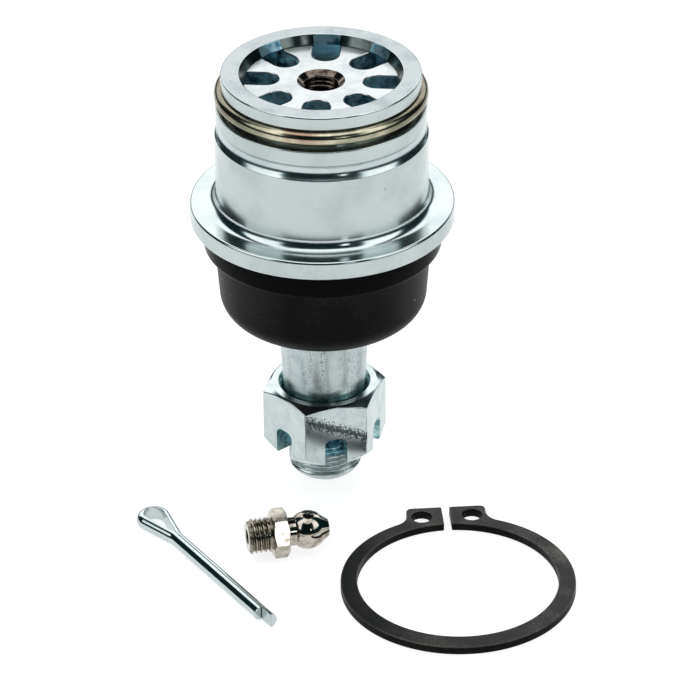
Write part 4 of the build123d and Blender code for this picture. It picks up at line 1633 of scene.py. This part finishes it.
@dataclass
class GreaseFitting(SubAssembly):
    """The loose grease fitting and the spring behind its check ball."""

    thread_r: float = 4.85
    thread_l: float = 6.6
    lead: float = 0.8
    relief_r: float = 4.3
    relief_l: float = 0.7
    across_flats: float = 11.9
    hex_l: float = 4.3
    neck_r: float = 3.9
    head_r: float = 5.3
    head_at: float = 16.6
    length: float = 22.3
    nose_r: float = 2.3
    nose_cone: float = 38.0
    nose_ease: float = 0.25
    bore_r: float = 2.0
    stop_r: float = 1.45
    stop_at: float = 7.5
    stop_t: float = 1.0
    inlet_r: float = 1.15
    inlet_l: float = 1.0
    inlet_ease: float = 0.15
    tail_ease: float = 0.2
    lead_ease: float = 0.25
    corner_ease: float = 0.3
    face_step: float = 0.15    # from the hexagon's flats in to its turned end faces
    face_slope: float = 30.0
    start: tuple[float, float, float] = (-20.99, -43.14, -89.05)
    heading: float = 12.0
    thread: Thread = field(default_factory=lambda: Thread(1.25, 0.72, 0.35, 6.0, fade=0.5))
    coil_r: float = 1.74
    coil_low: float = 8.72
    coil_high: float = 19.16
    coil_turns: int = 6
    wire_r: float = 0.2

    def outline(self) -> list[Point]:
        """Draws half the section along the fitting's own axis, from the bore round to the bore.

        Returns:
            The outline's points.
        """
        cone = radians(self.nose_cone)
        neck = degrees(acos(self.neck_r / self.head_r))
        hex_end = self.thread_l + self.hex_l
        line = Outline()
        line.corner(self.bore_r, 0, self.tail_ease)
        line.corner(self.thread_r - self.lead, 0, self.lead_ease)
        line.corner(self.thread_r, self.lead)
        line.along((self.thread_r, z) for z in self.thread.heights() if z > self.lead + 0.05)
        line.corner(self.relief_r, self.thread_l - self.relief_l)
        line.corner(self.relief_r, self.thread_l)
        line.corner(self.neck_r, self.thread_l + 1.0)
        line.corner(self.neck_r, hex_end + 0.2)
        line.along(arc_points((0, self.head_at), self.head_r, -neck, self.nose_cone, 4))
        line.corner(self.nose_r, self.length, self.nose_ease)
        line.corner(self.inlet_r, self.length, self.inlet_ease)
        line.corner(self.inlet_r, self.length - self.inlet_l)
        line.corner(self.bore_r, self.length - self.inlet_l - (self.bore_r - self.inlet_r))
        line.corner(self.bore_r, self.stop_at + self.stop_t)
        line.corner(self.stop_r, self.stop_at + self.stop_t)
        line.corner(self.stop_r, self.stop_at)
        line.corner(self.bore_r, self.stop_at)
        return line.points()

    def build(self) -> None:
        """Turns the fitting and joins the hexagon to it."""
        far = self.across_flats / 2 / cos(radians(30))
        low, high = self.thread_l, self.thread_l + self.hex_l
        obj = make_object("fitting_greased", prism(hexagon(far, 0.0, self.corner_ease), low, high))
        face_r = self.across_flats / 2 - self.face_step
        rise = (far + 1 - face_r) * tan(radians(self.face_slope))
        ends = [(0, low), (face_r, low), (far + 1, low + rise), (far + 1, high - rise),
                (face_r, high), (0, high)]
        blank = make_object("turning", revolve(ends, closed=False, segments=96))
        cut_with(obj, [blank], "INTERSECT")
        clear_r = self.bore_r + 0.6
        bore = make_object("bore", revolve([(0, 0), (clear_r, 0), (clear_r, 20), (0, 20)],
                                           closed=False, segments=48))
        cut_with(obj, [bore])
        stem = make_object("stem", revolve(self.outline(), segments=128, reach=self.thread.cut))
        cut_with(obj, [stem], "UNION")
        shade(obj, 35)
        # Thread roots and the bore take index 1, nickel with painted crevice shade.
        for face in obj.data.polygons:
            reach, z = hypot(face.center.x, face.center.y), face.center.z
            in_root = 0.3 < z < self.thread_l and reach < self.thread_r - 0.36
            face.material_index = 1 if in_root or reach < self.bore_r + 0.05 else 0
        obj.data.transform(self.place())
        dress(obj, NICKEL, NICKEL_ROOT_SHADE)
        self.seat(obj, "fitting", "fitting_body", "nickel")
        self._wind()

    def place(self) -> Matrix:
        """Works out how the fitting lies on the floor.

        Returns:
            The placement, which takes the fitting's own Z along its heading.
        """
        side = Vector((sin(radians(self.heading)), -cos(radians(self.heading)), 0))
        axis = Vector((cos(radians(self.heading)), sin(radians(self.heading)), 0))
        turn = Matrix((side, axis.cross(side), axis)).transposed().to_4x4()
        return Matrix.Translation(self.start) @ turn

    def _wind(self) -> None:
        """Winds the check ball's spring."""
        bm = bmesh.new()
        steps = 28 * self.coil_turns
        climb = (self.coil_high - self.coil_low) / (2 * pi * self.coil_turns)
        rings = []
        for i in range(steps + 1):
            turn = 2 * pi * self.coil_turns * i / steps
            out = Vector((cos(turn), sin(turn), 0))
            go = Vector((-self.coil_r * sin(turn), self.coil_r * cos(turn), climb)).normalized()
            middle = out * self.coil_r + Vector((0, 0, self.coil_low + climb * turn))
            across = out.cross(go)
            rings.append([bm.verts.new(middle + out * x + across * y)
                          for x, y in arc_points((0, 0), self.wire_r, 0, 315, 45)])
        close_rings(bm, rings)
        obj = shade(make_object("check_coil", bm, self.place()))
        dress(obj, SPRING_STEEL)
        low, high = Vector((0, 0, self.coil_low)), Vector((0, 0, self.coil_high - 0.4))
        self.seat(obj, "fitting", "check_spring", "spring_steel",
                  Bend("check", tuple(self.place() @ low), tuple(self.place() @ high)))


@dataclass
class SnapRing(SubAssembly):
    """The stamped snap ring with two plier holes."""

    bore_r: float = 26.88
    width: float = 4.52
    offset: float = 0.65       # from the bore's centre to the outside's
    thickness: float = 2.4
    edge: float = 0.28
    lug_h: float = 3.9
    lug_half: float = 17.9
    lug_round: float = 3.0
    web_round: float = 5.0
    gap: float = 2.1
    gap_ease: float = 0.4
    hole_r: float = 2.5
    hole_wall: float = 1.3
    hole_half: float = 12.6
    centre: tuple[float, float, float] = (35.44, -58.70, -95.0)
    heading: float = 94.3

    def outline(self) -> list[Point]:
        """Draws the ring with its gap towards +X.

        Returns:
            The outline's points.
        """
        out_r = self.bore_r + self.width
        lug_r = out_r + self.lug_h
        reach = lug_r * sin(radians(self.lug_half))
        half = self.gap / 2
        web_y = reach + self.web_round
        web_x = sqrt((out_r + self.web_round) ** 2 - web_y**2) - self.offset
        toward = degrees(atan2(web_y, web_x + self.offset))
        inner = degrees(asin(half / self.bore_r))
        line = Outline()
        line.corner(self.bore_r * cos(radians(inner)), half, self.gap_ease)
        line.corner(lug_r, half, self.gap_ease)
        line.corner(lug_r, reach, self.lug_round)
        line.along(arc_points((web_x, web_y), self.web_round, 270, 180 + toward, 6))
        line.along(arc_points((-self.offset, 0), out_r, toward, 360 - toward, 2)[1:-1])
        line.along(arc_points((web_x, -web_y), self.web_round, 180 - toward, 90, 6))
        line.corner(lug_r, -reach, self.lug_round)
        line.corner(lug_r, -half, self.gap_ease)
        line.corner(self.bore_r * cos(radians(inner)), -half, self.gap_ease)
        line.along(arc_points((0, 0), self.bore_r, 360 - inner, inner, 2)[1:-1])
        return line.points()

    def build(self) -> None:
        """Stamps the ring and punches its holes."""
        high, wide = self.thickness, self.hole_r + 0.7
        obj = make_object("snap_ring_stamped", prism(self.outline(), 0, high, self.edge,
                                                     wall_index=2, rim_index=1))
        at = self.bore_r + self.width + self.lug_h - self.hole_wall - self.hole_r
        punches = []
        for sign in (1, -1):
            a = radians(sign * self.hole_half)
            hole = [(0, -PAST), (wide, -PAST), (wide, -0.4), (self.hole_r, 0.3),
                    (self.hole_r, high - 0.3), (wide, high + 0.4), (wide, high + PAST),
                    (0, high + PAST)]
            punches.append(make_object("punch", revolve(hole, closed=False, segments=64),
                                       Matrix.Translation((at * cos(a), at * sin(a), 0)), index=2))
        for piece in (obj, *punches):
            dress(piece, BLACK_STEEL, PALE_EDGE_STEEL, SHEARED_STEEL)
        cut_with(obj, punches)
        obj.data.transform(Matrix.Translation(self.centre)
                           @ Matrix.Rotation(radians(self.heading), 4, "Z"))
        shade(obj, 35)
        self.seat(obj, "retainer", "snap_ring", "black_phosphate")


@dataclass
class InnerParts(SubAssembly):
    """The hidden pieces, which keep their solids and get a finish each."""

    finishes: dict[str, Finish] = field(default_factory=lambda: {
        # The preload spring, seen down the notches, gets the painted blue recess shade.
        "preload_spring": BLUE_SHADE_ZINC, "pressure_seat": IRON, "lower_race": IRON,
        "boot_clamp": SPRING_STEEL, "boot_bush": SPRING_STEEL, "check_ball": SPRING_STEEL})

    def build(self) -> None:
        """Dresses each solid."""
        for name, finish in self.finishes.items():
            dress(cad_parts[name], finish)
            LOG.info("%-18s dressed as %s", name, finish.name)


# ------------------------------------------------------------------ studio
@dataclass
class Studio:
    """Lit table among white panels at the sides, the rear and above, and a long lens.

    Headings are degrees from the front, heights degrees above the horizon. The side panels' edges
    lean outward by `side_lean` with height, and a small bright card stands beside the lens.
    """

    aim: tuple[float, float, float] = (7.10, 0.0, -56.5)
    pitch: float = 30.97
    roll: float = -0.44
    distance: float = 1203.3
    lens: float = 225.9
    sensor: float = 36.0
    clip: tuple[float, float] = (0.05, 50.0)
    floor_r: float = 2500.0
    floor_gap: float = 0.03
    side_from: float = 44.0
    side_to: float = 88.0
    side_low: float = 26.0
    side_lean: float = 0.5
    rear_from: float = 138.0
    rear_low: float = 14.0
    roof_low: float = 68.0
    card_heading: float = 24.0
    card_low: float = 25.0
    card_high: float = 32.0
    card_half: float = 2.5
    card_boost: float = 2.4
    soft: float = 6.0
    tent: float = 1.7
    room: str = "#0A1B1E"
    edge: str = "#456D76"
    panel: str = "#FFFFFF"

    def table(self) -> None:
        """Lays the round sheet that everything stands on."""
        level = CAD_BOX[0].z / MM - self.floor_gap
        rim = [(0.0, level), (self.floor_r, level)]
        obj = make_object("floor_sheet", revolve(rim, closed=False, segments=64),
                          Matrix.Scale(MM, 4))
        dress(obj, FLOOR)

    def light(self) -> None:
        """Paints the dark room with its white panels and the small card near the lens."""
        world = bpy.data.worlds.new("panels")
        bpy.context.scene.world = world
        world.use_nodes = True
        tree = world.node_tree
        tree.nodes.clear()
        ray = add(tree, "ShaderNodeTexCoord").outputs["Generated"]
        apart = add(tree, "ShaderNodeSeparateXYZ", {0: ray})
        back = add(tree, "ShaderNodeMath", {0: apart.outputs[1], 1: -1.0}, operation="MULTIPLY")
        heading = add(tree, "ShaderNodeMath", {0: apart.outputs[0], 1: back.outputs[0]},
                      operation="ARCTAN2")
        off_axis = add(tree, "ShaderNodeMath", {0: heading.outputs[0]}, operation="ABSOLUTE")
        up = add(tree, "ShaderNodeMath", {0: apart.outputs[2]}, operation="ARCSINE")
        lean = add(tree, "ShaderNodeMath", {0: up.outputs[0], 1: radians(self.side_low)},
                   operation="SUBTRACT")
        slant = add(tree, "ShaderNodeMath", {
            0: lean.outputs[0], 1: -self.side_lean, 2: off_axis.outputs[0]},
            operation="MULTIPLY_ADD")
        sides = self._band(tree, slant, self.side_from, self.side_to)
        side_high = self._band(tree, up, self.side_low, 90)
        rear = self._band(tree, off_axis, self.rear_from, 180)
        rear_high = self._band(tree, up, self.rear_low, 90)
        roof = self._band(tree, up, self.roof_low, 90)
        card = self._band(tree, heading, self.card_heading - self.card_half,
                          self.card_heading + self.card_half, 0.5)
        card_high = self._band(tree, up, self.card_low, self.card_high, 0.5)
        white = roof
        # The card comes last, because its panel also sets how much more it shines.
        for one, two in ((sides, side_high), (rear, rear_high), (card, card_high)):
            panel = add(tree, "ShaderNodeMath", {0: one, 1: two}, operation="MULTIPLY")
            white = add(tree, "ShaderNodeMath", {0: white, 1: panel.outputs[0]},
                        operation="MAXIMUM").outputs[0]
        lit = add(tree, "ShaderNodeValToRGB", {0: white})
        stops = lit.color_ramp
        stops.elements[0].position, stops.elements[0].color = 0.0, linear(self.room)
        stops.elements[1].position, stops.elements[1].color = 1.0, linear(self.panel)
        stops.elements.new(0.5).color = linear(self.edge)
        power = add(tree, "ShaderNodeMath", {
            0: panel.outputs[0], 1: self.card_boost, 2: self.tent}, operation="MULTIPLY_ADD")
        glow = add(tree, "ShaderNodeBackground", {0: lit.outputs[0], 1: power.outputs[0]})
        add(tree, "ShaderNodeOutputWorld", {0: glow.outputs[0]})

    def _band(self, tree: bpy.types.NodeTree, angle: bpy.types.Node, low: float, high: float,
              fading: float = 1.0) -> bpy.types.NodeSocket:
        """Brightness of a panel across one angle.

        Args:
            tree: The node tree.
            angle: Node that gives the angle, in radians.
            low: Angle of the panel's first edge, in degrees.
            high: Angle of its second edge.
            fading: Width of the fading outside each edge, as a share of `soft`.

        Returns:
            One between the edges and zero elsewhere.
        """
        middle, half = radians(low + high) / 2, radians(high - low) / 2
        off = add(tree, "ShaderNodeMath", {0: angle.outputs[0], 1: middle}, operation="SUBTRACT")
        size = add(tree, "ShaderNodeMath", {0: off.outputs[0]}, operation="ABSOLUTE")
        fade = add(tree, "ShaderNodeMapRange", {
            0: size.outputs[0], 1: half, 2: half + radians(self.soft * fading), 3: 1.0, 4: 0.0})
        return fade.outputs[0]

    def camera(self) -> None:
        """Sets up the long lens that looks down on the aim."""
        data = bpy.data.cameras.new("camera")
        data.lens = self.lens
        data.sensor_width = self.sensor
        data.clip_start, data.clip_end = self.clip
        obj = bpy.data.objects.new("camera", data)
        bpy.context.scene.collection.objects.link(obj)
        tilt = radians(self.pitch)
        back = Vector((0, -cos(tilt), sin(tilt)))
        obj.location = (Vector(self.aim) + back * self.distance) * MM
        turn = Matrix.Rotation(radians(90 - self.pitch), 4, "X") @ Matrix.Rotation(
            radians(self.roll), 4, "Z")
        obj.rotation_euler = turn.to_euler()
        bpy.context.scene.camera = obj

    def set_up(self) -> None:
        """Builds the table, the panels and the camera."""
        self.table()
        self.light()
        self.camera()
        bpy.context.scene.view_settings.view_transform = "Standard"


def main() -> None:
    """Builds the studio and every sub-assembly in order."""
    logging.basicConfig(level=logging.INFO, format="%(name)s: %(message)s")
    Studio().set_up()
    for group in (PressedHousing(), BallStud(), RubberBoot(), CastleNut(), CotterPin(),
                  GreaseFitting(), SnapRing(), InnerParts()):
        group.build()


if __name__ == "__main__":
    main()
